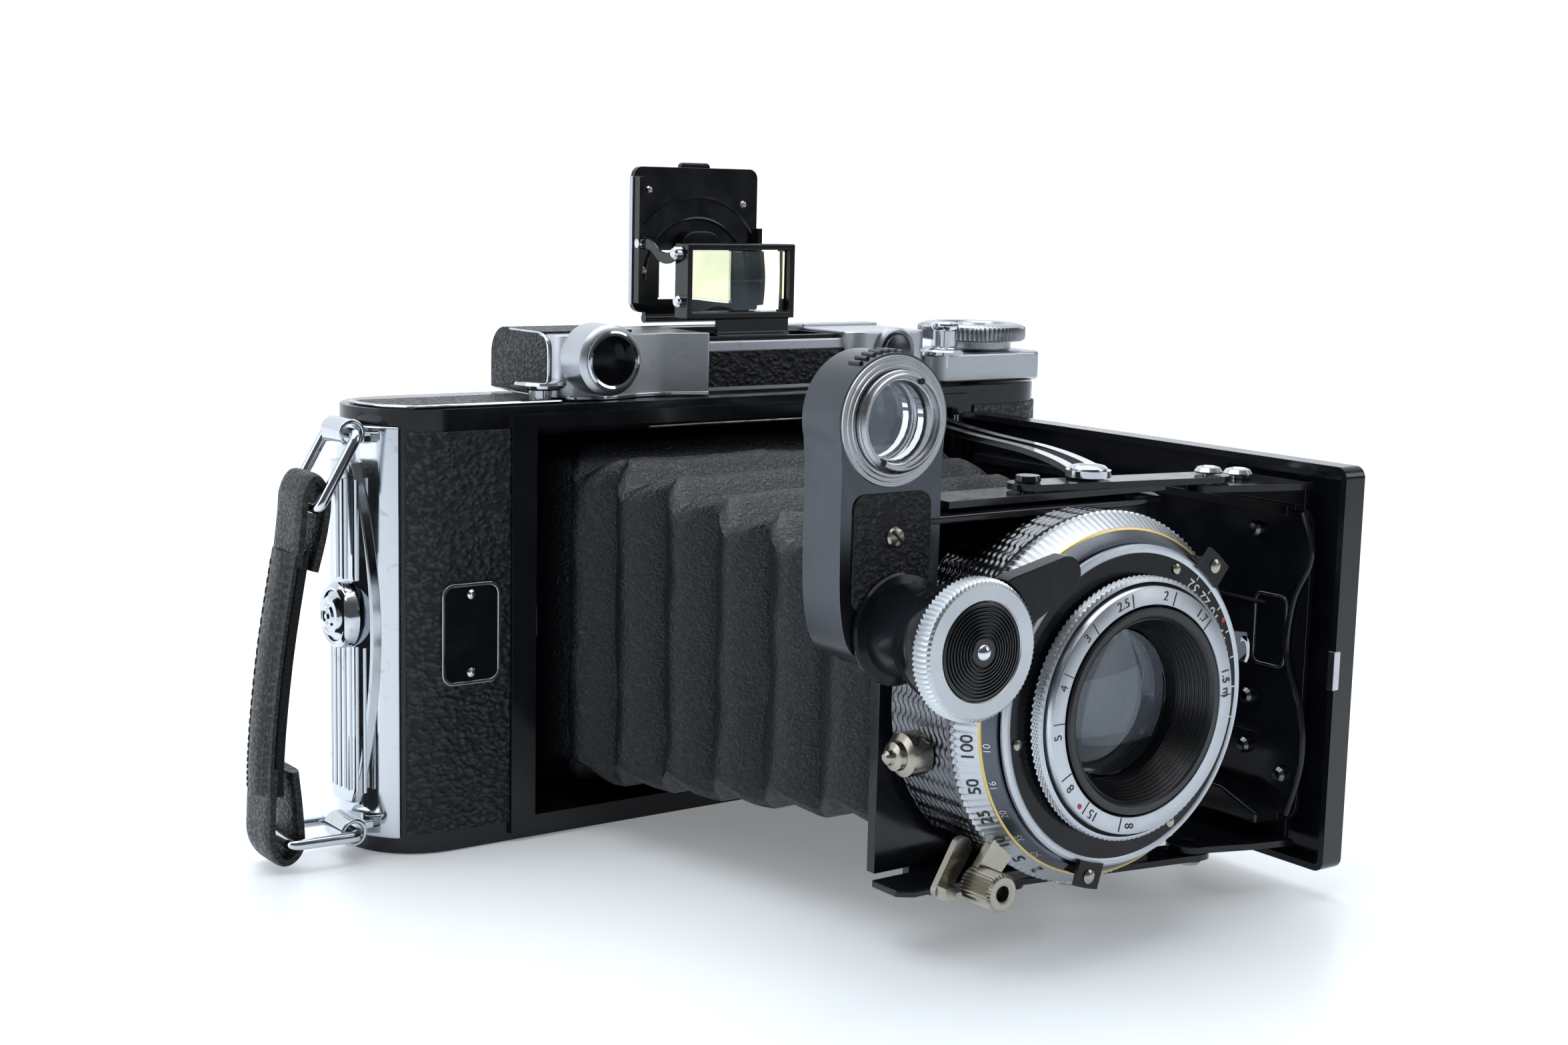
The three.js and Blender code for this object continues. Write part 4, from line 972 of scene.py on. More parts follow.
def make_housing():
    left_front = [(-41.2, 6.0), (-41.2, -9.0), *arc((-37.2, -9.0), 4.0, 180, 262, 8)]
    waist = spline([(-37.7, -12.97), (-34.2, -13.5), (-29.4, -13.2), (-24, -11.4), (-18, -11.0),
                    (-12.5, -12.4), (-8.9, -13.5)], 6)
    left = [*left_front, *waist, (-8.5, -13.2), (-8.5, 6.0)]
    plate("housing_left", [left], "z", HOUSING_BASE, HOUSING_TOP, SATIN_CHROME, "camera_body", bevel=1.1,
          replaces=["top_housing"], slot="satin_chrome")
    hood = [(4.6, HOUSING_BASE), (4.6, HOUSING_TOP), *HOUSING_CROWN, (HOUSING_REAR, HOUSING_BASE)]
    for place, x in (("left", (-41.15, -8.4)), ("middle", (-8.5, 27.0)), ("right", (26.9, 46.55))):
        plate(f"housing_hood_{place}", [hood[::-1]], "x", *x, SATIN_CHROME, "camera_body", bevel=0.3)
    plate("housing_base_bead", [[(x, y - 0.25) if y < 0 else (x, y) for x, y in left]], "z",
          HOUSING_BASE - 0.2, HOUSING_BASE + 0.6, CHROME, "camera_body", bevel=0.2)
    plate("housing_middle", [rounded((-8.6, HOUSING_FRONT), (30, HOUSING_REAR - 0.4), 0.3)], "z",
          HOUSING_BASE, 88.6, SATIN_CHROME, "camera_body", bevel=0.2)
    vertices, faces = block_mesh((-8.5, 27), (HOUSING_FRONT, -8.15), (88.4, 90.6))
    piece("housing_front_sill", vertices, faces, SATIN_CHROME, "camera_body", bevel=0.35)
    plate("housing_right", [rounded((26.5, -12.6), (46.6, 6), (4.0, 3.0, 0.5, 0.5))], "z", HOUSING_BASE,
          HOUSING_TOP - 0.6, SATIN_CHROME, "camera_body", bevel=1.1)


def make_housing_leather():
    plate("housing_front_leather", [rounded((-8.0, HOUSING_BASE + 0.9), (28.4, 88.7), 0.6)], "y",
          HOUSING_FRONT - 0.45, HOUSING_FRONT - 0.02, COARSE_LEATHER, "camera_body", bevel=0.15,
          slot="leather")
    end_outline = rounded((-8.4, HOUSING_BASE + 0.4), (HOUSING_REAR, HOUSING_TOP),
                          (0.8, 0.3, REAR_ROUND, 2.6))
    plate("housing_end_leather", [end_outline], "x", -41.75, -41.22, FINE_LEATHER, "camera_body",
          bevel=0.3, slot="leather")
    wrap = [(-6.6, HOUSING_TOP + 0.02), (2, HOUSING_TOP + 0.02),
            *[(y + 0.02, z + 0.02) for y, z in HOUSING_CROWN], (HOUSING_REAR + 0.02, HOUSING_BASE + 0.4)]
    vertices, faces = folded_sheet(wrap, 0.4, -41.4, -22.0)
    piece("housing_top_leather", vertices, faces, FINE_LEATHER, "camera_body", bevel=0.15, slot="leather")
    edge = [(-41.5, -8.9, z) for z in (HOUSING_BASE + 0.6, 84, 88, 89.6)]
    edge += [(-41.5, -8.9 + y, 89.6 + z) for y, z in arc((2.9, 0), 2.9, 170, 95, 6)]
    edge += [(-41.3, y, HOUSING_TOP + 0.1) for y in (-5.2, -2, 2, 6)]
    vertices, faces = tube_mesh(edge, 0.32, 8)
    piece("housing_edge_line", vertices, faces, CHROME, "camera_body")


def make_window():
    """The rangefinder window on its round boss, and the adjuster cap at the right."""
    y = HOUSING_LOW.y
    ring = [(6.6, -12.0), (6.6, y + 0.9), (6.1, y + 0.2), (5.6, y - 0.1), (5.1, y + 0.2), (4.9, y + 0.9),
            (4.9, -12.0)]
    lathe("window_boss", "y", RF_WINDOW, ring, SATIN_CHROME, "camera_body", 56)
    rim = raised(y, [(5.5, 0.2), (5.5, -0.45), (5.1, -0.62), (4.6, -0.45), (4.4, 0.6), (4.4, 3), (5.0, 3)])
    lathe("window_rim", "y", RF_WINDOW, rim, CHROME, "camera_body", 56,
          replaces=["rangefinder_window_ring"], slot="chrome")
    # The window glass is a glossy black disc: painted shade for the dark inside of the housing seen through
    # it.
    glass = raised(y, [(0, 2.2), (2.4, 2.3), (4.4, 2.6), (4.4, 3.2), (0, 3.2)])
    lathe("window_glass_shade", "y", RF_WINDOW, glass, BLACK_PAINT, "camera_body", 40)
    cap = [(0, -14.6), (2.6, -14.5), (3.3, -14.2), (3.6, -13.6), (3.6, -12), (0, -12)]
    lathe("adjuster_cap", "y", ADJUSTER, cap, ARM_ALLOY, "camera_body", 40)
    collar = [(3.7, -12), (3.7, -13.6), (4.3, -13.9), (4.7, -13.5), (4.8, -12)]
    lathe("adjuster_collar", "y", ADJUSTER, collar, SATIN_CHROME, "camera_body", 40)


def make_eyepiece():
    place = (middle("rangefinder_eyepiece").x, middle("rangefinder_eyepiece").z)
    end = box("rangefinder_eyepiece")[1].y
    cup = [(1.6, 9.6), (3.3, 9.6), (3.3, end - 1.2), (4.8, end - 1.2), (4.9, end - 0.5), (4.4, end),
           (3.0, end - 0.1), (1.9, end - 0.8)]
    lathe("eyepiece_cup", "y", place, cup, SOFT_BLACK, "camera_body", 40, replaces=["rangefinder_eyepiece"])
    lathe("eyepiece_glass", "y", place, [(0, 9.9), (1.6, 9.9), (1.6, 11), (0, 11.2)], FINDER_GLASS,
          "camera_body", 24)
    keep("finder_well", BLACK_PAINT, 0.2)
    keep("rangefinder_prism", LENS_GLASS, 0.0)


def make_bed_release():
    place = (middle("bed_release_button").x, middle("bed_release_button").y)
    top = box("bed_release_button")[1].z
    low = box("bed_release_button")[0].z
    profile = [(0, low), (2, low), (2, top - 1.9), (3.9, top - 1.8), (4.6, top - 1.4), (4.8, top - 0.9),
               (4.5, top - 0.4), (3.6, top - 0.1), (2.6, top - 0.25), (1.6, top - 0.1), (0, top)]
    lathe("bed_release_cap", "z", place, profile, CHROME, "bed_release", 48,
          replaces=["bed_release_button"], slot="chrome")


def make_winding():
    low = PLATFORM_LOW.z
    high = PLATFORM_HIGH.z
    outline = rounded((PLATFORM_LOW.x, PLATFORM_LOW.y), (PLATFORM_HIGH.x, PLATFORM_HIGH.y),
                      (4.5, 3.0, 3.0, 3.0))
    plate("platform_chrome", [outline], "z", low, high, SATIN_CHROME, "camera_body", bevel=0.7,
          replaces=["winding_platform"], slot="satin_chrome")
    knob_low, knob_high = box("winding_knob")
    top = knob_high.z
    radius = (knob_high.x - knob_low.x) / 2
    profile = [(0, knob_low.z), (2.2, knob_low.z), (2.2, high + 0.3), (8.4, high + 0.3), (8.6, high + 0.6),
               (8.6, 89.2), (radius - 0.6, 89.2), (radius - 0.1, 89.5), (radius, 89.8), (radius, 90.9),
               (radius, 91.9), (radius - 0.3, 92.2), (radius - 1.3, top - 0.15), (radius - 2.0, top),
               (radius - 4.2, top - 0.1), (radius - 4.5, top - 0.5), (3.2, top - 0.5), (2.9, top - 0.1),
               (0, top)]
    rows = {7: (0.6, 0), 8: (1, 0), 9: (1, 0), 10: (1, 0), 11: (0.5, 0)}
    lathe("winding_knob_knurled", "z", KNOB, profile, KNOB_ALLOY, "winding", 288,
          relief=knurl(rows, 72, 0.45), replaces=["winding_knob"], slot="chrome")
    arrow = [(-2.4, -0.5), (1.2, -0.5), (1.2, -1.4), (3.0, 0), (1.2, 1.4), (1.2, 0.5), (-2.4, 0.5)]
    plate("winding_arrow", [[(KNOB[0] + u, KNOB[1] + 5.6 + v) for u, v in arrow]], "z", top - 0.5,
          top - 0.42, BLACK_INK, "winding", bevel=0)


def make_release():
    high = PLATFORM_HIGH.z
    place = (middle("release_button").x, middle("release_button").y)
    button_low, button_high = box("release_button")
    end = button_high.z
    post = [(0, button_low.z), (1.2, button_low.z), (1.2, 88.5), (2.3, 88.6), (2.35, 91.8), (2.75, 92.2),
            (2.9, 92.7), (2.8, end - 0.3), (2.2, end), (1.4, end - 0.15), (0.9, end - 0.5), (0, end - 0.55)]
    lathe("release_post", "z", place, post, CHROME, "release", 40, replaces=["release_button"], slot="chrome")
    base = raised(high, [(2.6, -0.1), (4.2, -0.1), (4.2, 0.5), (3.8, 0.9), (2.9, 1.0), (2.6, 0.8)])
    lathe("release_base_ring", "z", place, base, CHROME, "camera_body", 40)


def make_finder_glass():
    """The front lens of the finder, bulged forward, hollow behind."""
    keep("finder_front_frame", ENAMEL, 0.3)
    glass_low, glass_high = box("finder_front_lens")
    bulge_front = 0.9
    columns, rows = 14, 8
    vertices = []
    for y, sign in ((glass_low.y + bulge_front, -1), (glass_high.y - 0.6, 1)):
        for i in range(rows + 1):
            for k in range(columns + 1):
                u, v = 2 * k / columns - 1, 2 * i / rows - 1
                lift = bulge_front * (1 - u * u) * (1 - 0.4 * v * v) if sign < 0 else -0.5 * (1 - u * u)
                x = glass_low.x + (glass_high.x - glass_low.x) * (u + 1) / 2
                z = glass_low.z + (glass_high.z - glass_low.z) * (v + 1) / 2
                vertices.append((x, y + sign * lift, z))
    piece("finder_front_glass", vertices, slab_faces(rows, columns), FINDER_GLASS, "finder_front",
          replaces=["finder_front_lens"], sharp=40, slot="glass")


def make_finder_panel():
    """The rear panel with its two arcs, hump, rivets and finger tab."""
    keep("finder_rear_panel", ENAMEL, 0.25)
    keep("finder_rear_lens", FINDER_GLASS, 0.15)
    panel_low, panel_high = box("finder_rear_panel")
    face = 11.7
    arcs = []
    for radius, centre_z in ((16.6, 101.5), (12.4, 101.5)):
        half = math.degrees(math.asin(min(1.0, 14.2 / radius)))
        points = [(x, face, z) for x, z in arc((FINDER_X, centre_z), radius, 90 + half, 90 - half, 28)]
        points = [p for p in points if abs(p[0] - FINDER_X) < 13.9]
        arcs.append(tube_mesh(points, 0.4, 8))
    merged("finder_panel_arcs", arcs, ENAMEL, "finder_rear")
    hump = spline([(-4.6, 0.0), (-4.2, 1.5), (-2.2, 2.4), (2.2, 2.4), (4.2, 1.5), (4.6, 0.0)], 5)
    hump_outline = [(FINDER_X + u, 107.6 + v * 1.5) for u, v in hump][::-1]
    plate("finder_hump", [hump_outline], "y", face - 2.2, face, ENAMEL, "finder_rear", bevel=0.8)
    for i, (x, z) in enumerate(((11.4, 116.8), (-12.6, 103.4), (-11.5, 119.4))):
        profile = raised(face, [(0, -0.6), (0.5, -0.5), (0.8, -0.1), (0.8, 0.1), (0, 0.1)])
        lathe(f"finder_rivet_{i}", "y", (FINDER_X + x, z), profile, NICKEL, "finder_rear", 16)
    tab_top = panel_high.z
    plate("finder_tab", [rounded((FINDER_X - 3.6, tab_top - 1.2), (FINDER_X + 3.6, tab_top + 1.0), 0.9)],
          "y", 12.2, 13.8, ENAMEL, "finder_rear", bevel=0.4)
    vertices, faces = block_mesh((panel_low.x - 0.35, panel_low.x + 0.02), (11.8, 13.0), (96.6, 122.0))
    piece("finder_panel_edge", vertices, faces, SATIN_CHROME, "finder_rear", bevel=0.1)


def make_finder_link():
    """The side link that folds both finder panels together, and its pins."""
    frame_left = box("finder_front_frame")[0].x
    bar = spline([(10.6, 108.8), (7.0, 108.6), (3.6, 106.6), (0.4, 106.3), (-2.6, 107.4)], 6)
    outline = [(y, z + 1.1) for y, z in bar] + [(y, z - 1.1) for y, z in bar[::-1]]
    plate("finder_link", [outline], "x", frame_left - 1.3, frame_left - 0.6, ENAMEL, "finder_front",
          bevel=0.2)
    for name, y, z in (("rear", 10.6, 108.8), ("front", -2.6, 107.4)):
        head = raised(frame_left, [(0, -2.2), (0.9, -2.1), (1.3, -1.7), (1.3, -0.2), (0, -0.2)])
        lathe(f"finder_pin_{name}", "x", (y, z), head, CHROME, "finder_front", 24)
    head = raised(frame_left, [(0, -1.4), (0.9, -1.3), (1.2, -0.9), (1.2, 0.4), (0, 0.4)])
    lathe("finder_pin_low", "x", (-2.6, 98.0), head, CHROME, "finder_front", 24)


# ---- Bed, struts and standard ----

DOOR_PIVOT = (31.5, -106.0)
STANDARD_PIVOT = (-4.1, -99.7)
STRUT_PIN = (8.5, -100.7)
STRUT_PIVOT = (44.0, -13.0)


def mirrored_z(vertices):
    return [(x, y, 2 * LENS_Z - z) for x, y, z in vertices]


def both_sides(name, vertices, faces, material, body, nodes, **settings):
    """The same piece above and below the light path."""
    for place, points, node in (("upper", vertices, nodes[0]), ("lower", mirrored_z(vertices), nodes[1])):
        piece(f"{place}_{name}", points, faces, material, body, replaces=[node] if node else [], **settings)


def screw_mesh(place, low, neck, top, shank=1.0, head=2.4):
    profile = [(0, low), (shank, low), (shank, neck), (head - 0.1, neck), (head, neck + 0.3),
               (head - 0.5, top - 0.15), (head * 0.6, top), (head * 0.45, top - 0.25), (0, top - 0.2)]
    return lathe_mesh("z", place, profile, 36)


def make_bed():
    keep("bed_door_shell", ENAMEL, 0.35)
    keep("bed_inner_plate", ENAMEL, 0.2)
    plate_x = box("bed_inner_plate")[1].x - 1.0
    wavy = spline([(-114.5, 14), (-117.2, 24), (-116.4, 33), (-112.6, 42), (-113.4, 52), (-116.8, 60),
                   (-114.5, 67.5)], 6)
    outline = [*wavy, (-84, 67.5), (-30, 67.5), (-28, 60), (-28, 20), (-30, 13.4), (-84, 13.4)]
    plate("bed_lining", [outline[::-1]], "x", plate_x - 0.7, plate_x - 0.05, ENAMEL, "bed_door", bevel=0.25)
    lines = []
    for z in (50.5, 27.5):
        line = [(plate_x - 0.6, y, z) for y in (-107, -100, -90, -80)]
        lines.append(tube_mesh(line, 0.5, 8))
    edge = [(plate_x - 0.7, y, z) for y, z in wavy]
    lines.append(tube_mesh(edge, 0.55, 8))
    merged("bed_lining_beads", lines, ENAMEL, "bed_door")
    ledge = [(-112.5, 12.6), (-84, 12.6), (-84, 15.6), (-90, 17.6), (-104, 17.6), (-112.5, 14.6)]
    plate("bed_spring_box", [ledge[::-1]], "x", plate_x - 6.4, plate_x - 0.6, ENAMEL, "bed_door", bevel=0.5)
    for i, (y, z) in enumerate(((-104.5, 24.5), (-104.5, 33.5), (-113.0, 21.0), (-104.5, 63.5))):
        profile = raised(plate_x, [(0, -2.4), (0.9, -2.2), (1.4, -1.6), (1.5, -0.6), (0, -0.6)])
        lathe(f"bed_rivet_{i}", "x", (y, z), profile, BLACK_ALLOY, "bed_door", 24)
    emblem = rounded((-112.2, 39.5), (-104.6, 52.5), 1.6)
    inner = rounded((-111.7, 40.0), (-105.1, 52.0), 1.3)
    plate("bed_emblem_line", [emblem, inner[::-1]], "x", plate_x - 0.95, plate_x - 0.6, STEEL, "bed_door",
          bevel=0.08)
    vertices, faces = block_mesh((DOOR_LOW.x - 0.3, DOOR_LOW.x + 1.2),
                                 (DOOR_LOW.y - 0.1, DOOR_LOW.y + 1.4), (37.4, 44.2))
    piece("bed_catch_notch", vertices, faces, STEEL, "bed_door", bevel=0.15)
    top = box("upper_bed_pivot_screw")[1].z
    low = box("upper_bed_pivot_screw")[0].z
    vertices, faces = screw_mesh(DOOR_PIVOT, low, top - 1.1, top)
    both_sides("bed_screw", vertices, faces, CHROME, "bed_door",
               ("upper_bed_pivot_screw", "lower_bed_pivot_screw"))
    vertices, faces = screw_mesh((40.5, -104.5), 72.7, 73.3, 74.4, 1.2, 2.6)
    both_sides("bracket_screw", vertices, faces, CHROME, "bed_door", (None, None))


def belt_outline(a, ra, b, rb, steps=16):
    """The outline of a belt round two circles."""
    way = math.atan2(b[1] - a[1], b[0] - a[0])
    tilt = math.acos((ra - rb) / math.dist(a, b))
    first = arc(a, ra, math.degrees(way + tilt), math.degrees(way + math.tau - tilt), steps)
    second = arc(b, rb, math.degrees(way - tilt), math.degrees(way + tilt), steps)
    return first + second


def make_links():
    low, high = box("upper_link")
    outline = belt_outline(DOOR_PIVOT, 3.6, STANDARD_PIVOT, 3.4)
    vertices, faces = plate_mesh([outline], "z", low.z, high.z)
    both_sides("link_plate", vertices, faces, ENAMEL, "bed_links", ("upper_link", "lower_link"),
               bevel=0.25, slot="enamel")


def make_struts():
    low, high = box("upper_strut")
    line = spline([STRUT_PIVOT, (35, -32), (28, -52), (23, -72), (16, -88), STRUT_PIN], 10)
    z_low, z_high = low.z, low.z + 1.1

    def band(points, half):
        left, right = [], []
        for i, (x, y) in enumerate(points):
            x0, y0 = points[max(i - 1, 0)]
            x1, y1 = points[min(i + 1, len(points) - 1)]
            size = math.hypot(x1 - x0, y1 - y0)
            nx, ny = -(y1 - y0) / size, (x1 - x0) / size
            left.append((x + nx * half, y + ny * half))
            right.append((x - nx * half, y - ny * half))
        return left, right

    left, right = band(line, 3.1)
    outline = left[::-1] + right
    slot_left, slot_right = band(line[5:-5], 1.25)
    slot = slot_left + slot_right[::-1]
    vertices, faces = plate_mesh([outline, slot], "z", z_low, z_high)
    eye = plate_mesh([circle(STRUT_PIN, 3.8)], "z", z_low - 0.02, z_high + 0.02)
    end = plate_mesh([circle(STRUT_PIVOT, 3.2)], "z", z_low - 0.01, z_high + 0.01)
    rivet = screw_mesh(STRUT_PIN, z_low + 0.2, z_high + 0.05, high.z, 2.0, 3.2)
    for place, flip, node in (("upper", False, "upper_strut"), ("lower", True, "lower_strut")):
        parts = [(vertices, faces), eye, end, rivet]
        if flip:
            parts = [(mirrored_z(v), f) for v, f in parts]
        merged(f"{place}_strut_chrome", parts, CHROME, "struts", replaces=[node], bevel=0.22, slot="chrome")


def make_standard():
    keep("lens_standard_plate", ENAMEL, 0.25)
    ledge = [(-33, -98.2), (-33, -104.4), (-30.5, -106.2), (14, -106.2), (22, -104.5), (24, -101),
             (24, -98.2)]
    vertices, faces = plate_mesh([ledge[::-1]], "z", 69.6, 70.8)
    both_sides("standard_ledge", vertices, faces, ENAMEL, "lens_standard", (None, None), bevel=0.35)
    vertices, faces = screw_mesh(STANDARD_PIVOT, 72.7, 74.1, 75.2, 1.2, 2.2)
    both_sides("standard_screw", vertices, faces, BLACK_ALLOY, "lens_standard", (None, None))


# ---- Shutter and lens ----


def speed_slope(v):
    """Radius and Y on the speed ring's sloping face, v millimetres up the slope."""
    return 29.26 + 0.514 * v, SPEED_Y - 2.84 + 0.857 * v


def inner_slope(v):
    """The same on the dark band inside the speed ring."""
    return 27.5 + 0.53 * v, SPEED_Y - 5.45 + 0.848 * v


def make_shutter_case():
    """The round case, engraved with wavy lines, and its flash post."""
    radius = 30.2
    front, rear = SPEED_Y + 0.4, SHUTTER_BACK_Y
    rows, waves, pitch = 120, 56, 1.25
    profile = raised(rear, [(17.4, 0), (29.6, 0), (29.9, -0.25)])
    first = len(profile)
    profile += [(radius, rear - 0.5 + (front + 0.9 - rear) * i / rows) for i in range(rows + 1)]
    profile += raised(front, [(29.9, 0.15), (29.6, 0), (23, 0), (23, 1.8), (17.4, 1.8)])

    def engraved(i, angle):
        if not first < i < first + rows:
            return 0.0
        y = profile[i][1] + 0.5 * math.sin(angle * waves)
        return -0.26 * (0.5 + 0.5 * math.cos(math.tau * y / pitch))

    lathe("shutter_case_engraved", "y", LENS, profile, BLACK_ALLOY, "lens_standard", waves * 8,
          relief=engraved, replaces=["shutter_housing"], sharp=60, slot="black_alloy")
    post = [(0, -36.6), (0.6, -36.6), (1.1, -36.2), (1.3, -35.5), (1.5, -35.3), (1.9, -35.2), (2.3, -34.9),
            (2.4, -34.2), (2.4, -33.8), (3.0, -33.5), (3.5, -33.1), (3.6, -32.4), (3.6, -29.6), (0, -29.6)]
    lathe("flash_post", "x", (-105, 33.4), post, NICKEL, "lens_standard", 40)


def make_speed_ring():
    y = SPEED_Y
    band = raised(y, [(23.2, 0), (29.9, 0), (30.5, -0.2), (30.5, -0.6), (30.5, -1.0), (30.1, -1.3),
                      (28.3, -4.3), (28.1, -4.3), (23.2, -4.3)])
    rows_of_teeth = {1: (0.5, 0), 2: (1, 0), 3: (1, 0), 4: (1, 0), 5: (0.4, 0)}
    lathe("speed_ring_knurled", "y", LENS, band, RING_ALLOY, "speed_setting", 600,
          relief=knurl(rows_of_teeth, 150, 0.4), replaces=["speed_ring"], slot="satin_alloy")
    line = raised(y, [(27.8, -4.2), (28.3, -4.25), (28.25, -4.55), (27.8, -4.7)])
    lathe("speed_line_brass", "y", LENS, line, BRASS, "lens_standard", 160)
    inner = raised(y, [(23.2, -4.2), (27.9, -4.2), (27.95, -4.6), (26.95, -6.2), (26.6, -6.6), (23.2, -6.6)])
    lathe("inner_scale_band", "y", LENS, inner, DARK_STEEL, "lens_standard", 160)


def make_face_plate():
    y = SPEED_Y
    face = FACE_Y
    hub = [(18.9, face + 0.15), (24.7, face + 0.15), (24.7, face + 1.0), (22.7, face + 1.3),
           (22.7, y - 0.6), (18.9, y - 0.6)]
    lathe("face_plate_black", "y", LENS, hub, BLACK_PAINT, "lens_standard", 128,
          replaces=["shutter_face_plate"], slot="black_alloy")
    rim = raised(face, [(24.7, 0.1), (25.0, -0.05), (25.6, 0), (26.0, 0.35), (26.0, 1.0), (24.7, 1.0)])
    lathe("face_plate_rim", "y", LENS, rim, RING_ALLOY, "lens_standard", 160)
    screws = []
    for degrees in (24, 262, 152):
        profile = raised(face, [(0, -0.35), (0.5, -0.35), (0.85, -0.15), (0.95, 0.2), (0, 0.2)])
        screws.append(lathe_mesh("y", clock(LENS, 23.4, degrees), profile, 24))
    merged("face_plate_screws", screws, NICKEL, "lens_standard")


def make_shutter_scales():
    face = FACE_Y
    speeds = [("100", 262), ("50", 249), ("25", 237.5), ("10", 226), ("5", 216), ("2", 207)]
    round_scale("speed_figures", speeds, LENS, speed_slope, 2.9, BLACK_INK, "speed_setting")
    times = [("10", 262), ("16", 249), ("20", 237.5), ("35", 226), ("50", 216)]
    round_scale("inner_figures", times, LENS, inner_slope, 1.7, STEEL, "lens_standard")
    stops = [("32", 37), ("22", 46), ("16", 55), ("11", 66), ("8", 77), ("5.6", 89), ("4.5", 101)]
    round_scale("aperture_figures", stops, LENS, lambda v: (22.65 - v, face + 0.12), 2.9, WHITE_INK,
                "lens_standard", -1)
    lines = ticks_mesh([angle for _, angle in stops], LENS, 23.9, 24.65, 0.22, face + 0.13)
    merged("aperture_lines", lines, WHITE_INK, "lens_standard")
    dot = raised(face, [(0, 0.05), (0.45, 0.05), (0.45, 0.13), (0, 0.13)])
    lathe("aperture_dot", "y", clock(LENS, 24.2, 60.5), dot, RED_INK, "lens_standard", 16)


def make_shutter_levers():
    keep("rear_lens_barrel", SOFT_BLACK, 0.1)
    keep("middle_lens", LENS_GLASS, 0.0)
    keep("rear_lens", LENS_GLASS, 0.0)
    keep("cocking_lever", DARK_STEEL, 0.2)
    outside = spline([(33.0, 47.0), (34.0, 47.2), (35.1, 46.0), (35.3, 43.6), (34.7, 42.4)], 5)
    inside = spline([(34.1, 42.7), (34.6, 43.8), (34.4, 45.4), (33.8, 46.3), (33.0, 46.2)], 5)
    vertices, faces = plate_mesh([(outside + inside)[::-1]], "y", -114.0, -111.7)
    piece("cocking_hook", vertices, faces, STEEL, "cocking", bevel=0.2)
    keep("shutter_release_lever", NICKEL, 0.2)


def make_brackets():
    """Two bent brackets, each held by a screw, that keep the speed ring in its place."""
    front = FACE_Y - 0.75
    shape, screws = [], []
    for start, end in ((44, 57), (-112, -100)):
        tongue = arc(LENS, 29.5, start + 1, end - 1, 6) + arc(LENS, 25.3, end, start, 6)
        post = arc(LENS, 27.8, start + 2, end - 2, 6) + arc(LENS, 26.2, end - 2, start + 2, 6)
        shape.append(plate_mesh([tongue], "y", front, FACE_Y - 0.1))
        shape.append(plate_mesh([post], "y", front + 0.2, SPEED_Y - 4.8))
        head = raised(front, [(0, -0.55), (0.7, -0.5), (1.15, -0.2), (1.2, 0.2), (0, 0.2)])
        screws.append(lathe_mesh("y", round_point(LENS, 27.6, (start + end) / 2), head, 28))
    merged("speed_ring_brackets", shape, BLACK_PAINT, "lens_standard", bevel=0.2)
    merged("speed_ring_bracket_screws", screws, NICKEL, "lens_standard")


def make_blades():
    """The ten curved leaves of the iris, part closed, each laid over the next."""
    leaves = []
    y = -107.25
    for i in range(10):
        turn = math.tau * i / 10
        outline = arc((0, 0), 15.8, -8, 52, 10) + arc((4.6, 2.4), 9.6, 66, -26, 14)
        cos, sin = math.cos(turn), math.sin(turn)
        placed = [(LENS_X + u * cos - v * sin, LENS_Z + u * sin + v * cos) for u, v in outline]
        leaves.append(plate_mesh([placed], "y", y - 0.06 * (i % 5) - 0.05, y - 0.06 * (i % 5)))
    merged("iris_leaves", leaves, BLADES, "lens_standard", replaces=["aperture_blades"])


def make_cable_socket():
    place = (-24.6, 13.6)
    front = box("cable_release_socket")[0].y
    profile = raised(front, [(1.3, 0.2), (1.9, 0), (2.6, 0.1), (3.1, 0.5), (3.1, 3.4), (3.1, 6.6),
                             (2.6, 7.2), (1.3, 7.2)])
    rows = {3: (0.8, 0), 4: (1, 0), 5: (0.8, 0)}
    lathe("cable_socket_knurled", "y", place, profile, NICKEL, "lens_standard", 120,
          relief=knurl(rows, 30, 0.4), replaces=["cable_release_socket"], slot="nickel")
    # A matt black disc closes the bore: painted shade for the inside of the hole.
    dark = raised(front, [(0, 1.6), (1.3, 1.6), (1.3, 2.0), (0, 2.0)])
    lathe("cable_socket_bore_shade", "y", place, dark, SOFT_BLACK, "lens_standard", 24)
    vertices, faces = plate_mesh([belt_outline(place, 2.3, (-20.6, 18.4), 2.6)], "y", front + 5.4,
                                 front + 6.8)
    piece("cable_socket_arm", vertices, faces, NICKEL, "lens_standard", bevel=0.25)


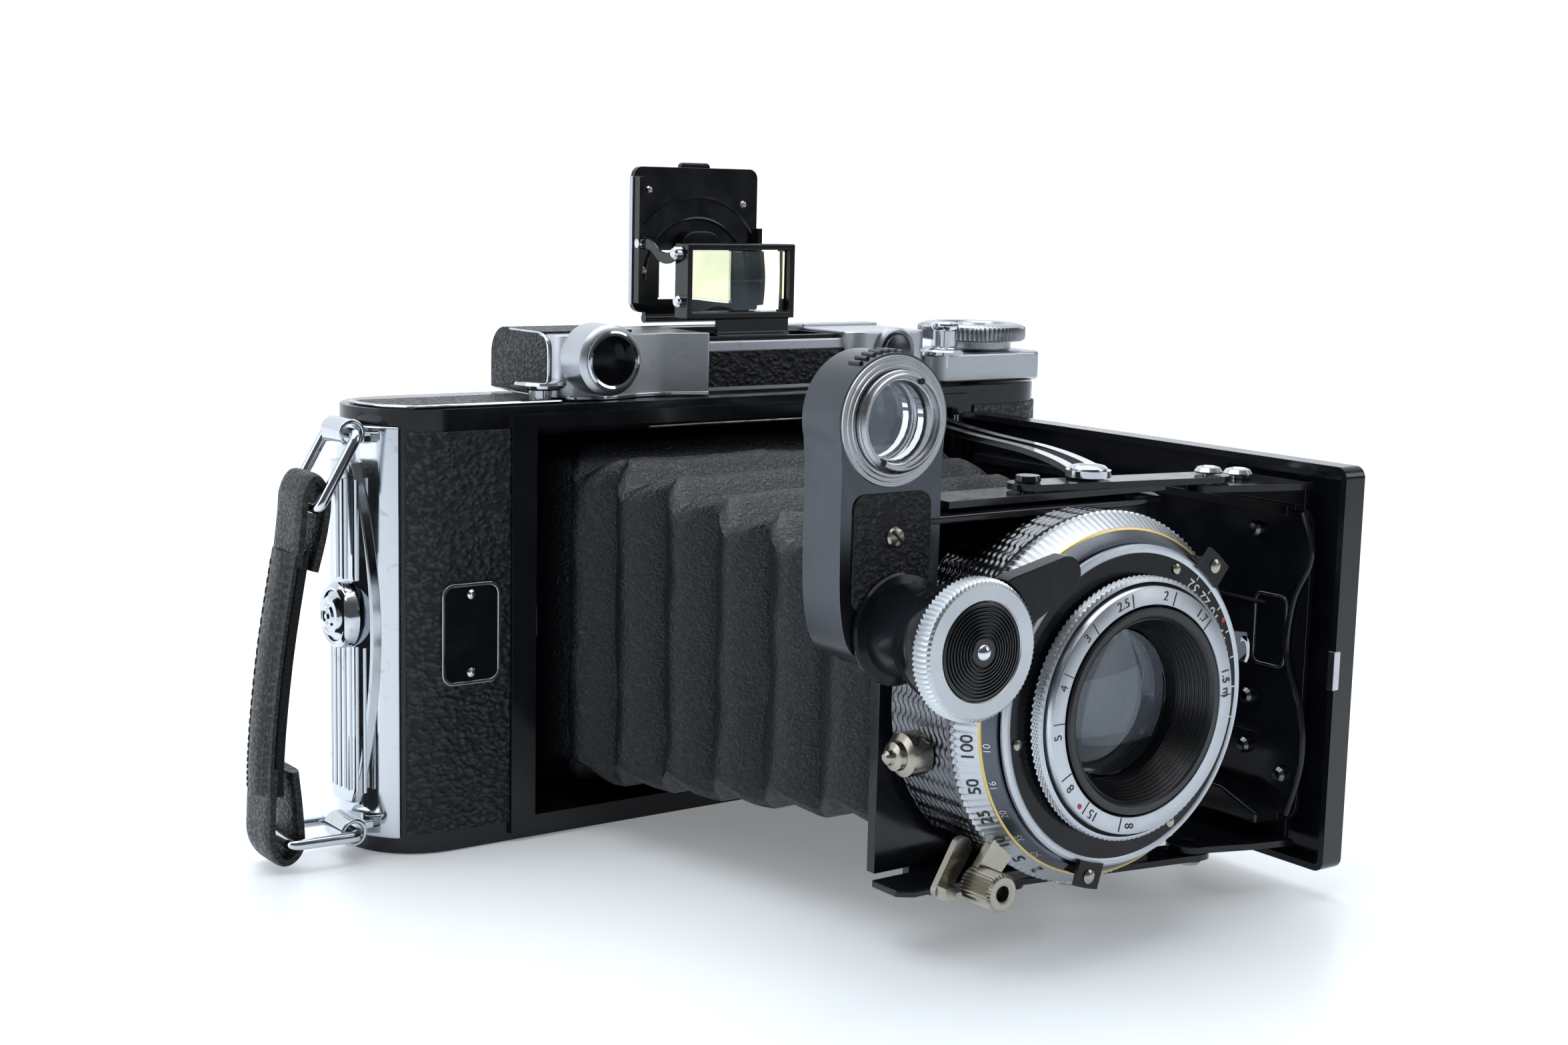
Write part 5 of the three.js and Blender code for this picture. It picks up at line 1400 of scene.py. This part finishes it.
def make_distance_ring():
    low, high = box("distance_ring")
    radius = (high.x - low.x) / 2
    front = low.y
    back = high.y
    profile = [(16.9, back), (20.7, back)]
    grip = len(profile)
    rows_count = 7
    profile += [(radius, back - 0.2 - 1.7 * i / (rows_count - 1)) for i in range(rows_count)]
    profile += [(20.9, back - 2.1), (20.5, back - 2.2), (20.3, back - 1.0), (19.95, back - 1.0),
                (19.85, front + 0.15), (19.7, front), (17.1, front), (16.9, front + 0.3)]
    rows = {grip + i: (1.0 if 0 < i < rows_count - 1 else 0.5, i) for i in range(rows_count)}
    lathe("distance_ring_knurled", "y", LENS, profile, RING_ALLOY, "focusing", 480,
          relief=knurl(rows, 120, 0.45, 0.5), replaces=["distance_ring"], sharp=50, slot="satin_alloy")
    # A matt black ring laid in the groove behind the grip: painted shade that deepens the groove's darkness.
    gap = raised(back, [(19.9, -1.1), (20.36, -1.1), (20.36, -1.4), (19.9, -1.4)])
    lathe("distance_ring_gap_shade", "y", LENS, gap, SOFT_BLACK, "focusing", 96)
    marks = [("∞", 187), ("15", 214), ("8", 236), ("5", 264), ("4", 288), ("3", 315), ("2.5", 342),
             ("2", 11), ("1.7", 40), ("1.5 m", 82)]
    round_scale("distance_figures", marks, LENS, lambda v: (18.45 + v, front - 0.01), 2.2, BLACK_INK,
                "focusing")
    lines = ticks_mesh([angle + 6.5 for _, angle in marks], LENS, 17.2, 19.45, 0.16, front - 0.01)
    merged("distance_lines", lines, BLACK_INK, "focusing")
    dot = raised(front, [(0, -0.09), (0.42, -0.09), (0.42, -0.01), (0, -0.01)])
    lathe("distance_dot", "y", clock(LENS, 18.9, 224.5), dot, RED_INK, "focusing", 16)


def make_lens_cell():
    """The black cell, stepped down to the front lens, and the lens."""
    cell_low, cell_high = box("front_lens_cell")
    nose = cell_low.y
    ribs = []
    steps = 8
    for i in range(steps):
        share = i / steps
        r = 12.5 + 2.5 * share
        y = nose + 5.5 - 5.0 * share
        ribs += raised(y, [(r, 0), (r - 0.16, -0.3), (r - 0.06, -0.5), (r + 0.16, -0.38)])
    cell = [(16.6, nose + 0.3), (16.6, cell_high.y - 4.2), (18.5, cell_high.y - 4.2), (18.5, cell_high.y),
            (12.4, cell_high.y), (12.4, nose + 5.7), *ribs, (15.1, nose + 0.25), (15.4, nose), (16.3, nose)]
    lathe("lens_cell_ribbed", "y", LENS, cell, CELL_BLACK, "focusing", 128, replaces=["front_lens_cell"],
          sharp=25, slot="black_alloy")
    glass_low, glass_high = box("front_lens")
    dome = 1.9
    curve = [(11.9 * i / 14, glass_low.y + 0.2 + dome * (i / 14) ** 2) for i in range(15)]
    lathe("front_glass", "y", LENS, [*curve, (11.9, glass_high.y), (0, glass_high.y)], LENS_GLASS,
          "focusing", 96, replaces=["front_lens"], slot="glass")


def make_wheel():
    low, high = box("focus_wheel_rim")
    radius = (high.x - low.x) / 2
    front, back = low.y, high.y
    profile = [(3, back), (radius - 0.5, back), (radius, back - 0.3), (radius, back - 1.2),
               (radius, back - 2.2), (radius - 0.35, front + 0.35), (radius - 0.9, front), (7.7, front),
               (7.5, front + 0.3), (7.5, front + 1.4), (3, front + 1.4)]
    rows = {1: (0.6, 0), 2: (1, 0), 3: (1, 0), 4: (1, 0), 5: (0.6, 0)}
    lathe("focus_wheel_knurled", "y", BARREL, profile, WHEEL_ALLOY, "focus_wheel", 320,
          relief=knurl(rows, 80, 0.42), replaces=["focus_wheel_rim"], slot="satin_alloy")
    disc_back = box("focus_wheel_disc")[1].y
    grooves = []
    count = 9
    for i in range(count):
        r = 7.1 - i * 0.54
        dish = disc_back - 1.0 - 0.5 * (i / count)
        grooves += raised(dish, [(r, 0), (r - 0.16, -0.04), (r - 0.3, 0.32), (r - 0.42, 0.32)])
    disc = [(0, disc_back), (7.35, disc_back), (7.35, disc_back - 0.9), *grooves, (2.1, disc_back - 1.5),
            (0, disc_back - 1.5)]
    lathe("focus_wheel_grooves", "y", BARREL, disc, WHEEL_BLACK, "focus_wheel", 72,
          replaces=["focus_wheel_disc"], slot="black_alloy", sharp=20)
    ball_y = disc_back - 1.2
    ball = [(1.35 * math.sin(math.pi * i / 12),
             ball_y + 1.05 * math.cos(math.pi * i / 12)) for i in range(13)]
    ball = [(max(r, 0.0) if 0 < i < 12 else 0.0, y) for i, (r, y) in enumerate(ball)]
    lathe("focus_wheel_ball", "y", BARREL, ball, CHROME, "focus_wheel", 32)


def make_focus_barrel():
    barrel = [(0, -122), (9.0, -122.3), (9.5, -122.0), (9.6, -121.4), (9.4, -119.6), (9.0, -117.6),
              (8.0, -115.4), (7.3, -113.6), (7.3, -107.6), (8.6, -107.2), (8.9, -106.8), (8.9, -106.3),
              (3.4, -106.3), (3.4, -94.9), (0, -94.9)]
    lathe("focus_barrel_black", "y", BARREL, barrel, BLACK_PAINT, "lens_standard", 72,
          replaces=["focus_barrel"], slot="black_alloy")
    keep("gear_bridge", BLACK_PAINT, 0.3)


# ---- Wedge arm ----


def make_arm():
    low, high = box("wedge_arm_housing")
    front, rear = low.y, high.y
    side = 9.7
    head = arc(WEDGE, 10.4, -16, 196, 40)
    left = spline([head[-1], (WEDGE[0] - side, 78), (WEDGE[0] - side, 68), (-46.8, 58), (-45.0, 51.6),
                   (-40.6, 48.6)], 6)
    foot = arc(BARREL, 7.2, 228, 322, 10)
    right = spline([(-29.2, 50.4), (-28.2, 56), (WEDGE[0] + side, 66), (WEDGE[0] + side, 78), head[0]], 6)
    outline = head + left[1:] + foot + right[:-1]
    hole = circle(WEDGE, 8.25, 56)
    plate("wedge_arm_alloy", [outline, hole[::-1], circle(BARREL, 3.8, 32)[::-1]], "y", front, rear,
          ARM_ALLOY, "wedge_arm", bevel=0.4, replaces=["wedge_arm_housing"], slot="satin_alloy")
    panel = rounded((-44.9, 57.2), (-29.9, 75.2), 2.2)
    plate("arm_leather", [panel], "y", front - 0.35, front - 0.02, FINE_LEATHER, "wedge_arm", bevel=0.12,
          slot="leather")
    profile = raised(front, [(0, -1.15), (0.6, -1.1), (1.15, -0.9), (1.4, -0.5), (1.4, -0.3), (0, -0.3)])
    profile = [(radius * 1.15, height) for radius, height in profile]
    lathe("arm_screw", "y", (-36.9, 68.4), profile, NICKEL, "wedge_arm", 32)
    # The screw's slot is a thin matt black bar laid on the head: painted shade for the slot.
    slit = [(-38.0, 69.2), (-37.8, 69.5), (-35.8, 67.6), (-36.0, 67.3)]
    plate("arm_screw_slot_shade", [slit], "y", front - 1.2, front - 0.7, SOFT_BLACK, "wedge_arm", bevel=0.0)


def make_wedge_rings():
    """The rings that hold the two glass wedges, and on the front one two matt black discs, painted shade for
    its spanner notches.
    """
    for name, node in (("front", "front_wedge_mount"), ("rear", "rear_wedge_mount")):
        mount_low, mount_high = box(node)
        y0, y1 = mount_low.y, mount_high.y
        profile = [(6.3, y1), (7.9, y1), (7.9, y0 + 1.0), (7.75, y0 + 0.8), (7.75, y0 + 0.5),
                   (7.5, y0 + 0.3), (7.3, y0), (7.0, y0), (6.9, y0 + 0.35), (6.6, y0 + 0.35),
                   (6.5, y0 + 0.9), (6.3, y0 + 1.0)]
        lathe(f"{name}_wedge_ring", "y", WEDGE, profile, ARM_RING, f"{name}_wedge_cell", 80,
              replaces=[node], slot="satin_alloy")
        keep(f"{name}_wedge", LENS_GLASS, 0.0)
    # Matt black discs where the spanner notches are: painted shade of the notch holes.
    marks = []
    notch = raised(box("front_wedge_mount")[0].y, [(0, -0.08), (0.5, -0.08), (0.5, 0.5), (0, 0.5)])
    for degrees in (62, 238):
        marks.append(lathe_mesh("y", round_point(WEDGE, 6.95, degrees), notch, 16))
    merged("wedge_ring_notch_shades", marks, SOFT_BLACK, "front_wedge_cell")


def make_arm_head():
    """Turned steps and a row of grip teeth on the head of the arm."""
    low, high = box("wedge_arm_housing")
    front, rear = low.y, high.y
    steps = []
    for radius, lift in ((10.1, 0.25), (9.3, 0.5), (8.6, 0.75)):
        steps += [(radius, front - lift + 0.25), (radius - 0.12, front - lift)]
    ring = [(10.2, front + 0.3), *steps, (8.0, front - 0.75), (8.0, front + 0.3)]
    lathe("arm_head_steps", "y", WEDGE, ring, ARM_RING, "wedge_arm", 96)
    teeth = []
    for i in range(7):
        x, z = round_point(WEDGE, 10.45, 78 + i * 7.5)
        teeth.append(tube_mesh([(x, front + 1.2, z), (x, rear - 5.4, z)], 0.42, 8))
    merged("arm_head_teeth", teeth, ARM_ALLOY, "wedge_arm")


def keep_the_rest():
    for node, material, bevel in (
        ("body_shell", ENAMEL, 0.35),
        ("back_cover", ENAMEL, 0.35),
        ("back_hinge_pin", STEEL, 0.0),
        ("tripod_bush", BRASS, 0.1),
        ("bed_hinge_pin", STEEL, 0.0),
        ("pressure_plate", SOFT_BLACK, 0.2),
        ("red_window", RUBY, 0.0),
        ("window_cover_slide", CHROME, 0.15),
        ("supply_film_roll", PAPER, 0.2),
        ("takeup_spool", STEEL, 0.1),
    ):
        keep(node, material, bevel)


# ---- Stage ----


def area_light(name, place, aim, size, power, color=(1.0, 1.0, 1.0)):
    light = bpy.data.lights.new(name, "AREA")
    light.shape = "RECTANGLE"
    light.size, light.size_y = size
    light.energy = power
    light.color = color
    obj = bpy.data.objects.new(name, light)
    link(obj)
    obj.location = place
    obj.rotation_euler = (Vector(aim) - Vector(place)).to_track_quat("-Z", "Y").to_euler()


def make_stage():
    floor = Finish("studio_floor", (0.8, 0.85, 0.9), 0.3)
    floor.set("Specular IOR Level", 0.5)
    # Painted light: the sweep glows though it is no lamp, at 0.22 up to 0.2 m back, rising to 0.78 at the
    # bend and up the wall.
    floor.set("Emission Color", (0.95, 0.98, 1.0, 1.0))
    depth = floor.node("ShaderNodeSeparateXYZ", Vector=floor.place).outputs["Y"]
    painted_glow = floor.spread(depth, 0.2, 2.4, 0.22, 0.78)
    floor.tree.links.new(painted_glow, floor.shader.inputs["Emission Strength"])
    half, near, far, bend, tall = 10.0, -2.2, 2.4, 1.4, 9.0
    across = [-half, half]
    line = [(near, 0.0), (far, 0.0)]
    turns = [math.pi / 2 * i / 16 for i in range(1, 17)]
    line += [(far + bend * math.sin(t), bend - bend * math.cos(t)) for t in turns]
    line.append((far + bend, tall))
    mesh = bpy.data.meshes.new("sweep")
    ground = BODY_LOW.z * MM - 0.0002
    vertices = [(x, y, z + ground) for y, z in line for x in across]
    faces = [(2 * i, 2 * i + 1, 2 * i + 3, 2 * i + 2) for i in range(len(line) - 1)]
    mesh.from_pydata(vertices, [], faces)
    mesh.shade_smooth()
    mesh.materials.append(floor.material)
    sweep = bpy.data.objects.new("sweep", mesh)
    link(sweep)
    make_world()
    centre = (0.0, -0.04, 0.04)
    area_light("top_box", (-0.05, 0.1, 0.9), centre, (1.4, 0.9), 8.5, (0.97, 0.99, 1.0))
    area_light("left_box", (-0.95, 0.1, 0.4), centre, (0.5, 0.8), 2.4, (0.96, 0.98, 1.0))
    area_light("right_box", (0.75, -0.75, 0.55), centre, (0.5, 0.6), 2.2, (0.97, 0.99, 1.0))
    bpy.context.scene.view_settings.view_transform = "Standard"


def make_world():
    """A bright room whose near side, behind the viewer, is dark, so that metal shows its form."""
    world = bpy.data.worlds.new("studio")
    world.use_nodes = True
    tree = world.node_tree
    coordinates = tree.nodes.new("ShaderNodeTexCoord")
    lean = tree.nodes.new("ShaderNodeVectorMath")
    lean.operation = "DOT_PRODUCT"
    tree.links.new(coordinates.outputs["Generated"], lean.inputs[0])
    lean.inputs[1].default_value = (0.1, 0.75, 0.65)
    ramp = tree.nodes.new("ShaderNodeValToRGB")
    tree.links.new(lean.outputs["Value"], ramp.inputs["Fac"])
    for place, level in ((0.0, 0.12), (0.22, 0.3), (0.55, 0.9), (1.0, 1.1)):
        stop = ramp.color_ramp.elements.new(place)
        stop.color = (level * 0.93, level * 0.97, level, 1.0)
    ramp.color_ramp.elements.remove(ramp.color_ramp.elements[0])
    ramp.color_ramp.elements.remove(ramp.color_ramp.elements[-1])
    background = tree.nodes["Background"]
    tree.links.new(ramp.outputs["Color"], background.inputs["Color"])
    background.inputs["Strength"].default_value = 0.9
    bpy.context.scene.world = world


def make_camera():
    """The photograph's view: from the left and a little above, with the camera slightly rolled."""
    yaw, pitch, roll = (math.radians(angle) for angle in (36.176, 8.724, 1.364))
    ahead = Vector((math.sin(yaw) * math.cos(pitch), math.cos(yaw) * math.cos(pitch), -math.sin(pitch)))
    level = Vector((math.cos(yaw), -math.sin(yaw), 0))
    above = level.cross(ahead)
    right = math.cos(roll) * level + math.sin(roll) * above
    up = -math.sin(roll) * level + math.cos(roll) * above
    data = bpy.data.cameras.new("camera")
    data.lens = 50.44
    data.sensor_width = 36
    data.clip_start, data.clip_end = 0.01, 20
    camera = bpy.data.objects.new("camera", data)
    link(camera)
    turn = Matrix((right, up, -ahead)).transposed().to_4x4()
    camera.matrix_world = Matrix.Translation(Vector((-245.6, -363.0, 120.9)) * MM) @ turn
    bpy.context.scene.camera = camera


make_skins()
make_badge()
make_frame_trim()
make_end_plate()
make_strap()
make_bellows()
make_housing()
make_housing_leather()
make_window()
make_eyepiece()
make_bed_release()
make_winding()
make_release()
make_finder_glass()
make_finder_panel()
make_finder_link()
make_bed()
make_links()
make_struts()
make_standard()
make_shutter_case()
make_speed_ring()
make_face_plate()
make_shutter_scales()
make_brackets()
make_shutter_levers()
make_blades()
make_cable_socket()
make_distance_ring()
make_lens_cell()
make_wheel()
make_focus_barrel()
make_arm()
make_wedge_rings()
make_arm_head()
keep_the_rest()
make_stage()
make_camera()
